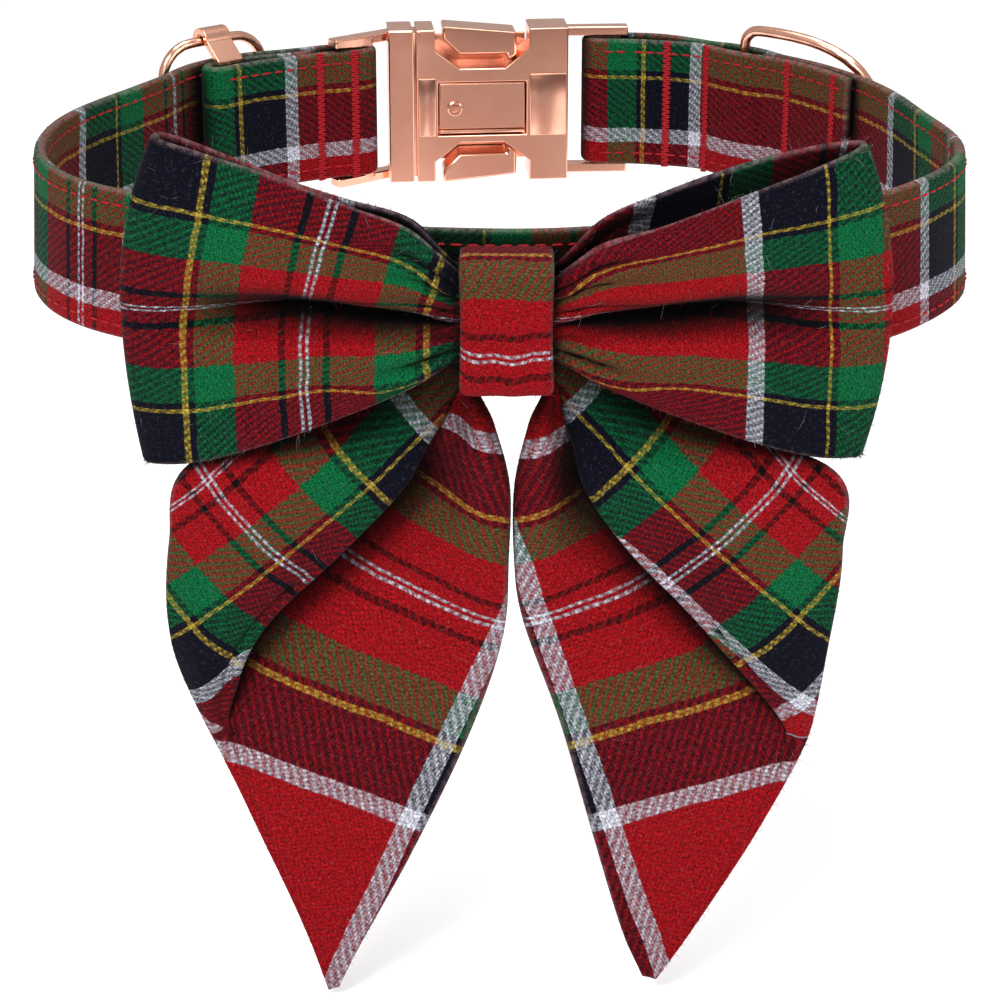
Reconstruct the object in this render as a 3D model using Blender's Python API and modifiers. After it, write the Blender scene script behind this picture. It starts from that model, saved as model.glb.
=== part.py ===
"""Pet collar with a sailor bow: tartan strap, bow, knot, tails and rose gold fittings.

Metres, +Z up, the bow at -Y. The origin is the middle of the neck opening, at the strap's mid height.
"""

import math

import bmesh
import bpy
import numpy as np
from mathutils import Matrix, Vector

MM = 0.001

# Strap
STRAP_WIDTH = 25 * MM
STRAP_THICK = 2.2 * MM
CLEARANCE = 0.35 * MM
LOOP_HALF_WIDTH = 78.5 * MM
LOOP_HALF_DEPTH = 65 * MM
STRAP_STEP = 4.5 * MM
STRAP_LEAN = 0.7 * MM
LEAN_START_Y = 35 * MM
LEAN_RUN = 30 * MM
RIGHT_FOLD_LENGTH = 58 * MM
SEWN_END_GAP = 8 * MM
LAYER_BLEND = 14 * MM

# The loop in plan, clockwise seen from above, between the buckle's two bars
LOOP_PLAN = [
    # across, depth: shares of LOOP_HALF_WIDTH and LOOP_HALF_DEPTH
    (0.459, 0.955),
    (0.682, 0.735),
    (0.841, 0.462),
    (0.949, 0.123),
    (0.994, -0.185),
    (0.943, -0.431),
    (0.777, -0.677),
    (0.459, -0.885),
    (0.000, -1.000),
    (-0.459, -0.885),
    (-0.777, -0.677),
    (-0.957, -0.461),
    (-1.023, -0.185),
    (-0.985, 0.123),
    (-0.868, 0.385),
    (-0.707, 0.635),
    (-0.548, 0.775),
]

# Buckle, in its own frame: u along the strap, v outward, w up
BUCKLE_X = -5 * MM
BUCKLE_Y = 64 * MM
BUCKLE_TURN = math.radians(5)
BUCKLE_HEIGHT = 30.2 * MM
BUCKLE_THICK = 8.6 * MM
PLUG_LENGTH = 4.8 * MM
SOCKET_LENGTH = 29.6 * MM
BUCKLE_SEAM = 0.6 * MM
SOCKET_RIGHT = 17 * MM
EDGE_BEVEL = 0.45 * MM
BAR_WIDTH = 6.4 * MM
BAR_THICK = 2.0 * MM
BAR_CLEARANCE = 0.5 * MM
PLUG_FOLD_GAP = 0.5 * MM
SOCKET_FOLD_GAP = 1.5 * MM
PLUG_BAR_DROP = 5.0 * MM
SOCKET_BAR_DROP = 0.3 * MM
ARM_THICK = 3.0 * MM
ARM_STEP = 0.5 * MM
ARM_OVERHANG = 1.4 * MM
TONGUE_HEIGHT = 12 * MM
TONGUE_THICK = 2.6 * MM
TONGUE_END = 8 * MM

# Release levers in the trapezoid notches above and below the plate
NOTCH_TOP_LEFT = -9.0 * MM
NOTCH_TOP_RIGHT = 9.4 * MM
NOTCH_SLOPE_RUN = 4.8 * MM
NOTCH_DEPTH = 7.4 * MM
NOTCH_LIP = 4.0 * MM
LEVER_LEFT = -7.4 * MM
LEVER_RIGHT = 7.0 * MM
LEVER_TIP_RISE = 0.5 * MM
LEVER_ROOT_SINK = 0.9 * MM
LEVER_HEIGHT = 5.2 * MM
LEVER_THICK = 6.6 * MM
LEVER_CHAMFER = 3.2 * MM
LEVER_FOOT = 1.6 * MM
LEVER_PIVOT_U = 6.2 * MM
LEVER_PIVOT_SINK = 3.0 * MM

# Plate and screw in the middle of the socket's neck side
RECESS_LEFT = -8.4 * MM
RECESS_RIGHT = 8.8 * MM
RECESS_TOP = 4.7 * MM
RECESS_BOTTOM = -5.9 * MM
RECESS_DEPTH = 1.3 * MM
PLATE_THICK = 0.9 * MM
PLATE_FOOT = 1.4 * MM
SCREW_U = -5.2 * MM
SCREW_W = -0.4 * MM
SCREW_RADIUS = 1.45 * MM
SCREW_HEIGHT = 0.5 * MM

# D ring
RING_X = 46 * MM
RING_WIRE = 1.1 * MM
RING_RISE = 2.8 * MM
RING_REACH = 29 * MM
RING_CORNER = 3.2 * MM
RING_ROUND = 2.6
RING_TILT = math.radians(8)
RING_POCKET = 9 * MM

# Slider
SLIDER_X = -52.5 * MM
SLIDER_WIRE = 1.0 * MM
SLIDER_LENGTH = 25 * MM
SLIDER_RISE = 2.4 * MM
SLIDER_CORNER = 6.5 * MM
SLIDER_PLATE_WIDTH = 5.6 * MM
SLIDER_PLATE_THICK = 1.2 * MM
SLIDER_CURL = 200
SLIDER_POCKET = 18 * MM

# Bow
BOW_HALF_LENGTH = 58 * MM
BOW_HALF_HEIGHT = 26.5 * MM
BOW_DEPTH = 6.6 * MM
BOW_WALL = 1.6 * MM
BOW_BEND = 3.0 * MM
BOW_VALLEY = 8.5 * MM
BOW_GATHER = 0.6 * MM
BOW_TOP_CORNER = 0.078
BOW_LOW_CORNER = 0.015
BOW_RIGHT_HEIGHT = 0.955
BOW_COLUMNS = 52
BOW_ROWS = 14
BOW_SECTIONS = [
    # along, height, rise, depth, valley: shares of the five sizes above (rise is of the half height)
    (0.00, 0.270, 0.079, 0.36, 0.00),
    (0.13, 0.280, 0.085, 0.36, 0.10),
    (0.25, 0.475, 0.150, 0.80, 0.70),
    (0.40, 0.615, 0.150, 1.00, 1.00),
    (0.65, 0.820, 0.136, 1.06, 0.80),
    (0.85, 0.940, 0.140, 1.05, 0.36),
    (1.00, 0.980, 0.155, 0.95, 0.00),
]

# Knot
KNOT_WIDTH = 14.4 * MM
KNOT_HEIGHT = 21.7 * MM
KNOT_WALL = 1.8 * MM
KNOT_RISE = 1.5 * MM
KNOT_CORNER = 3.6 * MM

# Tails
TAIL_DROP = 120 * MM
TAIL_SPREAD = 53.5 * MM
TAIL_WALL = 1.6 * MM
TAIL_FOLD = 6.5 * MM
TAIL_RECESS = 2.5 * MM
TAIL_RIDGE = 4.0 * MM
TAIL_LEAN = 3.0 * MM
CREASE_LEAST = 0.12
TAIL_COLUMNS = 52
TAIL_ROWS = 18
TAIL_LEFT = [
    # along, outer, outer drop, inner, inner drop, crease, fold, ridge
    # edges are shares of TAIL_SPREAD and TAIL_DROP, the crease a share of the way across
    (0.00, 0.000, 0.000, 0.000, 0.090, 0.60, 0.00, 0.00),
    (0.07, 0.140, 0.052, 0.075, 0.100, 0.60, 0.00, 0.00),
    (0.14, 0.440, 0.126, 0.020, 0.145, 0.70, 0.40, 0.80),
    (0.24, 0.900, 0.192, -0.008, 0.223, 0.74, 1.00, 1.00),
    (0.35, 0.995, 0.296, -0.008, 0.326, 0.58, 1.00, 0.55),
    (0.50, 1.000, 0.445, 0.005, 0.450, 0.33, 0.75, 0.20),
    (0.65, 0.877, 0.600, 0.085, 0.600, 0.10, 0.30, 0.00),
    (0.81, 0.720, 0.770, 0.225, 0.780, 0.05, 0.00, 0.00),
    (0.93, 0.585, 0.910, 0.375, 0.915, 0.05, 0.00, 0.00),
    (1.00, 0.510, 0.998, 0.470, 0.990, 0.05, 0.00, 0.00),
]
TAIL_RIGHT = [
    # the same columns
    (0.00, 0.000, 0.000, 0.000, 0.090, 0.60, 0.00, 0.00),
    (0.07, 0.140, 0.052, 0.095, 0.100, 0.60, 0.00, 0.00),
    (0.14, 0.440, 0.126, 0.050, 0.145, 0.74, 0.40, 0.60),
    (0.24, 0.950, 0.200, 0.026, 0.223, 0.70, 1.00, 0.90),
    (0.35, 0.995, 0.310, 0.024, 0.326, 0.62, 1.00, 0.50),
    (0.50, 0.960, 0.450, 0.062, 0.425, 0.50, 0.80, 0.20),
    (0.65, 0.885, 0.607, 0.165, 0.580, 0.22, 0.40, 0.00),
    (0.81, 0.705, 0.770, 0.275, 0.765, 0.05, 0.00, 0.00),
    (0.93, 0.550, 0.905, 0.365, 0.905, 0.05, 0.00, 0.00),
    (1.00, 0.472, 0.980, 0.432, 0.972, 0.05, 0.00, 0.00),
]

# Elastic loops that hold the bow to the strap
ELASTIC_X = 21 * MM
ELASTIC_WIDTH = 8 * MM
ELASTIC_WALL = 1.1 * MM

LAYER = STRAP_THICK + CLEARANCE
FOLD_HALF = BAR_THICK / 2 + BAR_CLEARANCE + STRAP_THICK / 2


def clear_scene():
    """Removes every object of the open scene."""
    for obj in list(bpy.data.objects):
        bpy.data.objects.remove(obj, do_unlink=True)


def new_collection(name, hidden=False):
    """A collection in the scene; a hidden one holds the cutters."""
    collection = bpy.data.collections.new(name)
    bpy.context.scene.collection.children.link(collection)
    collection.hide_render = hidden
    return collection


def new_material(name, colour, roughness, metallic):
    """A Principled material in one colour."""
    material = bpy.data.materials.new(name)
    material.use_nodes = True
    shader = material.node_tree.nodes["Principled BSDF"]
    shader.inputs["Base Color"].default_value = (*colour, 1)
    shader.inputs["Roughness"].default_value = roughness
    shader.inputs["Metallic"].default_value = metallic
    material.diffuse_color = (*colour, 1)
    return material


def add_object(name, mesh, material=None, parent=None):
    """Links a mesh as a part of the collar, or as a cutter where it has no material."""
    obj = bpy.data.objects.new(name, mesh)
    (PARTS if material else CUTTERS).objects.link(obj)
    if material:
        mesh.materials.append(material)
    else:
        obj.hide_render = True
        obj.display_type = "WIRE"
    obj.parent = parent
    return obj


def mesh_from(bm, name):
    """Turns a bmesh into a mesh with outward normals."""
    mesh = bpy.data.meshes.new(name)
    bm.to_mesh(mesh)
    bm.free()
    return mesh


def sheet(name, columns, rows, place, wall, material, parent=None, closed=False):
    """A cloth wall: a grid whose points place(along, across) sets, both 0 to 1, thickened on both sides."""
    bm = bmesh.new()
    bmesh.ops.create_grid(bm, x_segments=columns, y_segments=rows, size=1)
    for vert in bm.verts:
        vert.co = place((vert.co.x + 1) / 2, (vert.co.y + 1) / 2)
    if closed:
        bmesh.ops.remove_doubles(bm, verts=bm.verts, dist=0.01 * MM)
    obj = add_object(name, mesh_from(bm, name), material, parent)
    solid = obj.modifiers.new("wall", "SOLIDIFY")
    solid.thickness = wall
    solid.offset = 0
    solid.use_even_offset = True
    return obj


def box(name, low, high, material=None, parent=None, tilt=None):
    """A box between two corners, or turned about up by tilt round its own middle."""
    low, high = Vector(low), Vector(high)
    bm = bmesh.new()
    bmesh.ops.create_cube(bm, size=1)
    bmesh.ops.scale(bm, vec=high - low, verts=bm.verts)
    if tilt:
        bmesh.ops.rotate(bm, matrix=Matrix.Rotation(tilt, 3, "Z"), verts=bm.verts)
    bmesh.ops.translate(bm, vec=(low + high) / 2, verts=bm.verts)
    return add_object(name, mesh_from(bm, name), material, parent)


def plate(name, outlines, depth, turn, material=None, parent=None):
    """A flat outline, with any holes, filled and extruded to a depth; turn stands it up."""
    curve = bpy.data.curves.new(name, "CURVE")
    curve.dimensions = "2D"
    curve.fill_mode = "BOTH"
    curve.extrude = depth / 2
    for outline in outlines:
        spline = curve.splines.new("POLY")
        spline.points.add(len(outline) - 1)
        for point, (across, up) in zip(spline.points, outline):
            point.co = (across, up, 0, 1)
        spline.use_cyclic_u = True
    mesh = mesh_of_curve(name, curve)
    mesh.transform(turn)
    return add_object(name, mesh, material, parent)


def wire(name, points, radius, sides, material, parent=None):
    """A closed wire along points, its section a polygon of this many sides."""
    curve = bpy.data.curves.new(name, "CURVE")
    curve.dimensions = "3D"
    curve.bevel_depth = radius
    curve.bevel_resolution = sides // 2 - 2
    spline = curve.splines.new("POLY")
    spline.points.add(len(points) - 1)
    for point, place in zip(spline.points, points):
        point.co = (*place, 1)
    spline.use_cyclic_u = True
    return add_object(name, mesh_of_curve(name, curve), material, parent)


def mesh_of_curve(name, curve):
    """The mesh of a curve, with its caps welded."""
    guide = bpy.data.objects.new(name + "_guide", curve)
    CUTTERS.objects.link(guide)
    bpy.context.view_layer.update()
    graph = bpy.context.evaluated_depsgraph_get()
    mesh = bpy.data.meshes.new_from_object(guide.evaluated_get(graph))
    bpy.data.objects.remove(guide)
    mesh.materials.clear()
    bm = bmesh.new()
    bm.from_mesh(mesh)
    bmesh.ops.remove_doubles(bm, verts=bm.verts, dist=0.005 * MM)
    bmesh.ops.recalc_face_normals(bm, faces=bm.faces)
    bm.to_mesh(mesh)
    bm.free()
    return mesh


def boolean(target, other, operation):
    """Cuts or joins another object into this one."""
    modifier = target.modifiers.new(operation.lower(), "BOOLEAN")
    modifier.operation = operation
    modifier.object = other
    modifier.solver = "EXACT"


def bevel(obj, width):
    """Chamfers the sharp edges."""
    modifier = obj.modifiers.new("edges", "BEVEL")
    modifier.width = width
    modifier.segments = 1
    modifier.limit_method = "ANGLE"
    modifier.angle_limit = math.radians(40)


def smooth_round(obj, angle=40):
    """Shades round faces smooth and keeps true edges sharp."""
    obj.data.shade_smooth()
    obj.data.set_sharp_from_angle(angle=math.radians(angle))


def table_value(rows, column, share):
    """Reads one column of a table at a share, along a smooth curve through the rows."""
    along = [row[0] for row in rows]
    values = [row[column] for row in rows]
    share = min(max(share, along[0]), along[-1])
    index = min(max(int(np.searchsorted(along, share)) - 1, 0), len(rows) - 2)
    span = along[index + 1] - along[index]
    part = (share - along[index]) / span

    def slope(at):
        before, after = max(at - 1, 0), min(at + 1, len(rows) - 1)
        return (values[after] - values[before]) / (along[after] - along[before])

    return (
        (2 * part**3 - 3 * part**2 + 1) * values[index]
        + (part**3 - 2 * part**2 + part) * span * slope(index)
        + (-2 * part**3 + 3 * part**2) * values[index + 1]
        + (part**3 - part**2) * span * slope(index + 1)
    )


def ease(share):
    """0 to 1 with a soft start and end."""
    share = min(max(share, 0), 1)
    return share * share * (3 - 2 * share)


def bump(at, middle, reach, flat):
    """1 within flat of the middle, falling softly to 0 at the reach."""
    return ease((reach - abs(at - middle)) / (reach - flat))


def to_world(u, v):
    """A place in the buckle's frame, in plan."""
    cos, sin = math.cos(BUCKLE_TURN), math.sin(BUCKLE_TURN)
    return (BUCKLE_X + u * cos - v * sin, BUCKLE_Y + u * sin + v * cos)


class Loop:
    """The neck loop in plan: a closed smooth curve read by the length along it, clockwise from the buckle."""

    SPAN = 40

    def __init__(self):
        plug_bar = to_world(PLUG_BAR_U, -PLUG_BAR_DROP)
        socket_bar = to_world(SOCKET_BAR_U, -SOCKET_BAR_DROP)
        middle = to_world(0, -(PLUG_BAR_DROP + SOCKET_BAR_DROP) / 2)
        table = [(x * LOOP_HALF_WIDTH, y * LOOP_HALF_DEPTH) for x, y in LOOP_PLAN]
        knots = np.array([middle, socket_bar, *table, plug_bar])
        points = []
        for index in range(len(knots)):
            before, start, end, after = (knots[(index + k) % len(knots)] for k in (-1, 0, 1, 2))
            for part in np.arange(self.SPAN) / self.SPAN:
                points.append(
                    start
                    + 0.5 * part * (end - before)
                    + part**2 * (before - 2.5 * start + 2 * end - 0.5 * after)
                    + part**3 * (-0.5 * before + 1.5 * start - 1.5 * end + 0.5 * after)
                )
        self.points = np.array(points + points[:1])
        steps = np.hypot(*np.diff(self.points, axis=0).T)
        self.lengths = np.concatenate([[0], np.cumsum(steps)])
        self.total = self.lengths[-1]
        self.socket_bar = self.lengths[self.SPAN]
        self.plug_bar = self.lengths[(len(knots) - 1) * self.SPAN]

    def base(self, along):
        """The point of the curve at a length."""
        along = along % self.total
        return Vector([np.interp(along, self.lengths, self.points[:, axis]) for axis in (0, 1)])

    def ahead(self, along):
        """The direction of the curve at a length."""
        reach = 1.5 * MM
        return (self.base(along + reach) - self.base(along - reach)).normalized()

    def out(self, along):
        """The direction away from the neck at a length."""
        ahead = self.ahead(along)
        return Vector((-ahead.y, ahead.x))

    def at(self, along, offset):
        """The point this far outside the curve."""
        return self.base(along) + self.out(along) * offset

    def back_at(self, x):
        """The length at which the back half of the loop has this x."""
        back = [i for i, point in enumerate(self.points) if point[1] > LEAN_START_Y * 0.7]
        best = min(back, key=lambda i: abs(self.points[i][0] - x))
        return self.lengths[best]

    def front_at(self, x):
        """The length at which the front half of the loop has this x."""
        front = [i for i, point in enumerate(self.points) if point[1] < 0]
        best = min(front, key=lambda i: abs(self.points[i][0] - x))
        return self.lengths[best]


PLUG_LEFT = SOCKET_RIGHT - SOCKET_LENGTH - BUCKLE_SEAM - PLUG_LENGTH
FOLD_REACH = FOLD_HALF + STRAP_THICK / 2 - BAR_THICK / 2
PLUG_BAR_U = PLUG_LEFT - PLUG_FOLD_GAP - FOLD_REACH - BAR_WIDTH / 2
SOCKET_BAR_U = SOCKET_RIGHT + SOCKET_FOLD_GAP + FOLD_REACH + BAR_WIDTH / 2
FOLD_CENTRE = BAR_WIDTH / 2 - BAR_THICK / 2
STRAP_HALF = STRAP_WIDTH / 2


def strap_path(loop):
    """The strap's middle line in plan, from the right folded end, round the loop, to the sewn end."""
    ring = loop.back_at(RING_X)
    slider = loop.back_at(SLIDER_X)
    ring_push = RING_WIRE + CLEARANCE + STRAP_THICK / 2 - LAYER / 2
    plate_push = SLIDER_PLATE_THICK + CLEARANCE
    blend_right = loop.socket_bar + LAYER_BLEND / 2
    plate_half = SLIDER_PLATE_WIDTH / 2
    plate_flat = plate_half + STRAP_STEP / 2
    curl = (LAYER + SLIDER_PLATE_THICK + CLEARANCE) / 2
    path = []

    def run(start, stop, offset, step=STRAP_STEP):
        count = max(int(abs(stop - start) / step), 2)
        for index in range(count + 1):
            along = start + (stop - start) * index / count
            path.append(loop.at(along, offset(along)))

    def turn(centre, way, middle, radius, steps=8):
        for index in range(1, steps):
            angle = math.pi * index / steps
            side = turn.first * radius * math.cos(angle)
            path.append(loop.at(centre + way * radius * math.sin(angle), middle + side))

    def right_spread(along):
        apart = 1 - ease((along - blend_right) / LAYER_BLEND)
        return LAYER / 2 + apart * (FOLD_HALF - LAYER / 2)

    def inner_right(along):
        return -right_spread(along) - ring_push * bump(along, ring, RING_POCKET, STRAP_STEP / 2)

    def outer(along):
        right = right_spread(along) * (1 - ease((along - right_end) / (2 * LAYER_BLEND)))
        right += ring_push * bump(along, ring, RING_POCKET, STRAP_STEP / 2)
        left = LAYER * ease((along - slider) / (2 * LAYER_BLEND) + 1)
        left += plate_push * bump(along, slider, SLIDER_POCKET, plate_flat)
        return right + left

    def inner_left(along):
        return -LAYER

    def middle_left(along):
        return plate_push * bump(along, slider, SLIDER_POCKET, plate_flat)

    right_end = loop.socket_bar + RIGHT_FOLD_LENGTH
    right_turn = loop.socket_bar - FOLD_CENTRE
    left_turn = loop.plug_bar + FOLD_CENTRE
    slider_turn = slider - plate_half
    sewn_end = loop.plug_bar - BAR_WIDTH / 2 - SEWN_END_GAP / 2

    run(right_end, right_turn, inner_right)
    turn.first = -1
    turn(right_turn, -1, 0, FOLD_HALF)
    run(right_turn, left_turn, outer)
    turn.first = 1
    turn(left_turn, 1, 0, FOLD_HALF)
    run(left_turn, slider_turn, inner_left)
    turn.first = -1
    turn(slider_turn, -1, curl - LAYER, curl)
    run(slider_turn, sewn_end, middle_left)
    return path


def build_strap(loop, material):
    """The whole strap: one ribbon, folded round the buckle's bars and the slider's plate."""
    path = strap_path(loop)

    def place(along, across):
        point = path[round(along * (len(path) - 1))]
        height = (2 * across - 1) * STRAP_HALF
        lean = ease((LEAN_START_Y - point.y) / LEAN_RUN) * STRAP_LEAN * -height / STRAP_HALF
        out = point.normalized() * lean
        return (point.x + out.x, point.y + out.y, height)

    return sheet("collar_strap", len(path) - 1, 2, place, STRAP_THICK, material)


def build_bow(base_y, material):
    """The bow: a flattened ring of cloth, open above and below, pinched in the middle."""

    def place(along, across):
        angle = 2 * math.pi * along
        reach = -math.cos(angle)
        share = abs(reach)
        front = -1 if along < 0.5 else 1
        up = 2 * across - 1
        height, rise, depth, valley = (table_value(BOW_SECTIONS, c, share) for c in (1, 2, 3, 4))
        closing = abs(math.sin(angle)) ** 0.6
        y = front * depth * BOW_DEPTH * closing * (1 - 0.18 * up**4)
        if front < 0:
            y += BOW_VALLEY * valley * math.exp(-((up / 0.24) ** 2)) * closing
        y += BOW_GATHER * math.cos(3 * math.pi * up) * (1 - ease(share / 0.5)) * ease((share - 0.13) / 0.1)
        y += BOW_BEND * share**2
        right = 1 + (BOW_RIGHT_HEIGHT - 1) * ease(reach * 3)
        z = (rise + up * height) * BOW_HALF_HEIGHT * right
        corner = BOW_TOP_CORNER if up > 0 else BOW_LOW_CORNER
        x = reach * BOW_HALF_LENGTH * (1 - corner * up**2 * share**2)
        return (x, base_y + y, z)

    return sheet("bow_loop", BOW_COLUMNS, BOW_ROWS, place, BOW_WALL, material, closed=True)


def rounded_rectangle(half_width, half_height, corner, steps, middle=(0, 0)):
    """The outline of a rectangle with round corners, anticlockwise."""
    points = []
    for index, (side, top) in enumerate(((1, 1), (-1, 1), (-1, -1), (1, -1))):
        for step in range(steps + 1):
            angle = math.pi / 2 * (index + step / steps)
            points.append(
                (
                    middle[0] + side * (half_width - corner) + corner * math.cos(angle),
                    middle[1] + top * (half_height - corner) + corner * math.sin(angle),
                )
            )
    return points


def band(name, half_depth, half_height, wall, corner, width, turn, material):
    """A plain closed band: a round cornered ring extruded to its width."""
    outer = rounded_rectangle(half_depth, half_height, corner, 4)
    inner = rounded_rectangle(half_depth - wall, half_height - wall, corner - wall * 0.8, 4)
    return plate(name, [outer, inner], width, turn, material)


def build_knot(front_y, back_y, material):
    """The flat band that grips the bow and the tails."""
    turn = Matrix(((0, 0, 1), (1, 0, 0), (0, 1, 0))).to_4x4()
    turn = Matrix.Translation((0, (front_y + back_y) / 2, KNOT_RISE)) @ turn
    return band(
        "bow_knot",
        (back_y - front_y) / 2,
        KNOT_HEIGHT / 2,
        KNOT_WALL,
        KNOT_CORNER,
        KNOT_WIDTH,
        turn,
        material,
    )


def build_tails(neck_y, material):
    """The two tails: one folded strip whose middle the knot grips."""

    def place(along, across):
        side = -1 if along < 0.5 else 1
        share = abs(2 * along - 1)
        rows = TAIL_LEFT if side < 0 else TAIL_RIGHT
        outer, outer_drop, inner, inner_drop, crease, fold, ridge = (
            table_value(rows, column, share) for column in range(1, 8)
        )
        seam = max(crease, CREASE_LEAST)
        across = seam * across / 0.5 if across < 0.5 else seam + (1 - seam) * (across - 0.5) / 0.5
        x = side * (outer + (inner - outer) * across) * TAIL_SPREAD
        z = -(outer_drop + (inner_drop - outer_drop) * across) * TAIL_DROP
        if across < seam + 1e-6:
            y = -TAIL_FOLD * fold * (0.45 + 0.55 * math.sin(math.pi * across / seam))
        else:
            y = TAIL_RECESS * fold**3 * math.exp(-(across - seam) / 0.14) * ease((share - 0.14) / 0.1)
        y -= TAIL_RIDGE * ridge * math.exp(-(((across - 0.92) / 0.09) ** 2))
        y -= TAIL_LEAN * ease((share - 0.07) / 0.16)
        return (x, neck_y + y, z)

    return sheet("bow_tails", TAIL_COLUMNS, TAIL_ROWS, place, TAIL_WALL, material)


def build_elastic(loop, side, material):
    """A plain elastic loop behind one wing, round the strap."""
    name = "elastic_left" if side < 0 else "elastic_right"
    along = loop.front_at(side * ELASTIC_X)
    ahead, out = loop.ahead(along), loop.out(along)
    middle = loop.base(along)
    inner_half = STRAP_THICK / 2 + STRAP_LEAN + 1.5 * CLEARANCE
    half = inner_half + ELASTIC_WALL
    turn = Matrix(
        (
            (out.x, 0, ahead.x, middle.x),
            (out.y, 0, ahead.y, middle.y),
            (0, 1, 0, 0),
            (0, 0, 0, 1),
        )
    )
    high = STRAP_HALF + CLEARANCE + ELASTIC_WALL
    outer = rounded_rectangle(half, high, ELASTIC_WALL, 2)
    inner = rounded_rectangle(half - ELASTIC_WALL, high - ELASTIC_WALL, ELASTIC_WALL * 0.3, 2)
    return plate(name, [outer, inner], ELASTIC_WIDTH, turn, material)


def standing_frame(name, loop, along, offset=0.0):
    """An empty at a place of the loop: +X along the strap towards the front, +Y outward."""
    frame = bpy.data.objects.new(name, None)
    PARTS.objects.link(frame)
    place = loop.at(along, offset)
    frame.location = (place.x, place.y, 0)
    return frame


def build_ring(loop, material):
    """The D ring: its straight side in the strap's pocket, its round side towards the front."""
    along = loop.back_at(RING_X)
    frame = standing_frame("d_ring_pivot", loop, along)
    ahead = loop.ahead(along)
    frame.rotation_euler.z = math.atan2(ahead.y, ahead.x) + RING_TILT
    high = STRAP_HALF + RING_RISE + RING_WIRE
    points = []
    steps = 18
    for index in range(steps + 1):
        angle = math.pi / 2 - math.pi * index / steps
        cos, sin = math.cos(angle), math.sin(angle)
        across = RING_CORNER + (RING_REACH - RING_CORNER) * abs(cos) ** (2 / RING_ROUND)
        up = high * math.copysign(abs(sin) ** (2 / RING_ROUND), sin)
        points.append((across, 0, up))
    for side in (-1, 1):
        for step in range(4):
            turn = step if side < 0 else 3 - step
            angle = math.pi / 2 * (turn / 3)
            across = RING_CORNER * (1 - math.sin(angle))
            up = side * (high - RING_CORNER + RING_CORNER * math.cos(angle))
            points.append((across, 0, up))
    points = [p for i, p in enumerate(points) if (Vector(p) - Vector(points[i - 1])).length > 0.2 * MM]
    ring = wire("d_ring", points, RING_WIRE, 8, material, frame)
    smooth_round(ring)
    return ring


def build_slider(loop, material):
    """The slider: a wire frame outside the strap, and the plate that its sewn end wraps."""
    along = loop.back_at(SLIDER_X)
    plate_offset = -LAYER + STRAP_THICK / 2 + CLEARANCE + SLIDER_PLATE_THICK / 2
    strap_face = LAYER + STRAP_THICK / 2
    frame_offset = strap_face + CLEARANCE + SLIDER_WIRE - plate_offset
    pivot = standing_frame("slider_frame_place", loop, along, plate_offset)
    ahead = loop.ahead(along)
    pivot.rotation_euler.z = math.atan2(ahead.y, ahead.x)
    rail = STRAP_HALF + SLIDER_RISE + SLIDER_WIRE
    outline = rounded_rectangle(SLIDER_LENGTH / 2 - SLIDER_WIRE, rail, SLIDER_CORNER, 5)
    points = [(across, frame_offset, up) for across, up in outline]
    frame = wire("slider_frame", points, SLIDER_WIRE, 8, material, pivot)
    smooth_round(frame)

    curl_radius = SLIDER_WIRE + CLEARANCE + SLIDER_PLATE_THICK / 2
    sweep = math.radians(SLIDER_CURL)
    side_path = []
    curl_steps = 10
    for step in range(curl_steps + 1):
        angle = math.pi - sweep * (1 - step / curl_steps)
        side_path.append(
            (frame_offset + curl_radius * math.cos(angle), rail + curl_radius * math.sin(angle))
        )
    foot = (0, STRAP_HALF * 0.72)
    profile = side_path + [(0, STRAP_HALF + CLEARANCE), foot]
    profile += [(v, -w) for v, w in reversed(profile)]

    def place(along_profile, across):
        v, w = profile[round(along_profile * (len(profile) - 1))]
        return ((across - 0.5) * SLIDER_PLATE_WIDTH, v, w)

    bar = sheet(
        "slider_bar", len(profile) - 1, 2, place, SLIDER_PLATE_THICK, material, parent=pivot
    )
    return frame, bar


def notch(top):
    """The trapezoid notch in the socket's top or bottom edge, for a lever."""
    edge = top * (BUCKLE_HEIGHT / 2 + CLEARANCE)
    lip = top * (BUCKLE_HEIGHT / 2 - NOTCH_LIP)
    floor = top * NOTCH_DEPTH
    outline = [
        (NOTCH_TOP_LEFT, edge),
        (NOTCH_TOP_LEFT, lip),
        (NOTCH_TOP_LEFT + NOTCH_SLOPE_RUN, floor),
        (NOTCH_TOP_RIGHT - NOTCH_SLOPE_RUN, floor),
        (NOTCH_TOP_RIGHT, lip),
        (NOTCH_TOP_RIGHT, edge),
    ]
    return outline if top < 0 else outline[::-1]


FACE_ON = Matrix(((1, 0, 0), (0, 0, -1), (0, 1, 0))).to_4x4()


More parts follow.
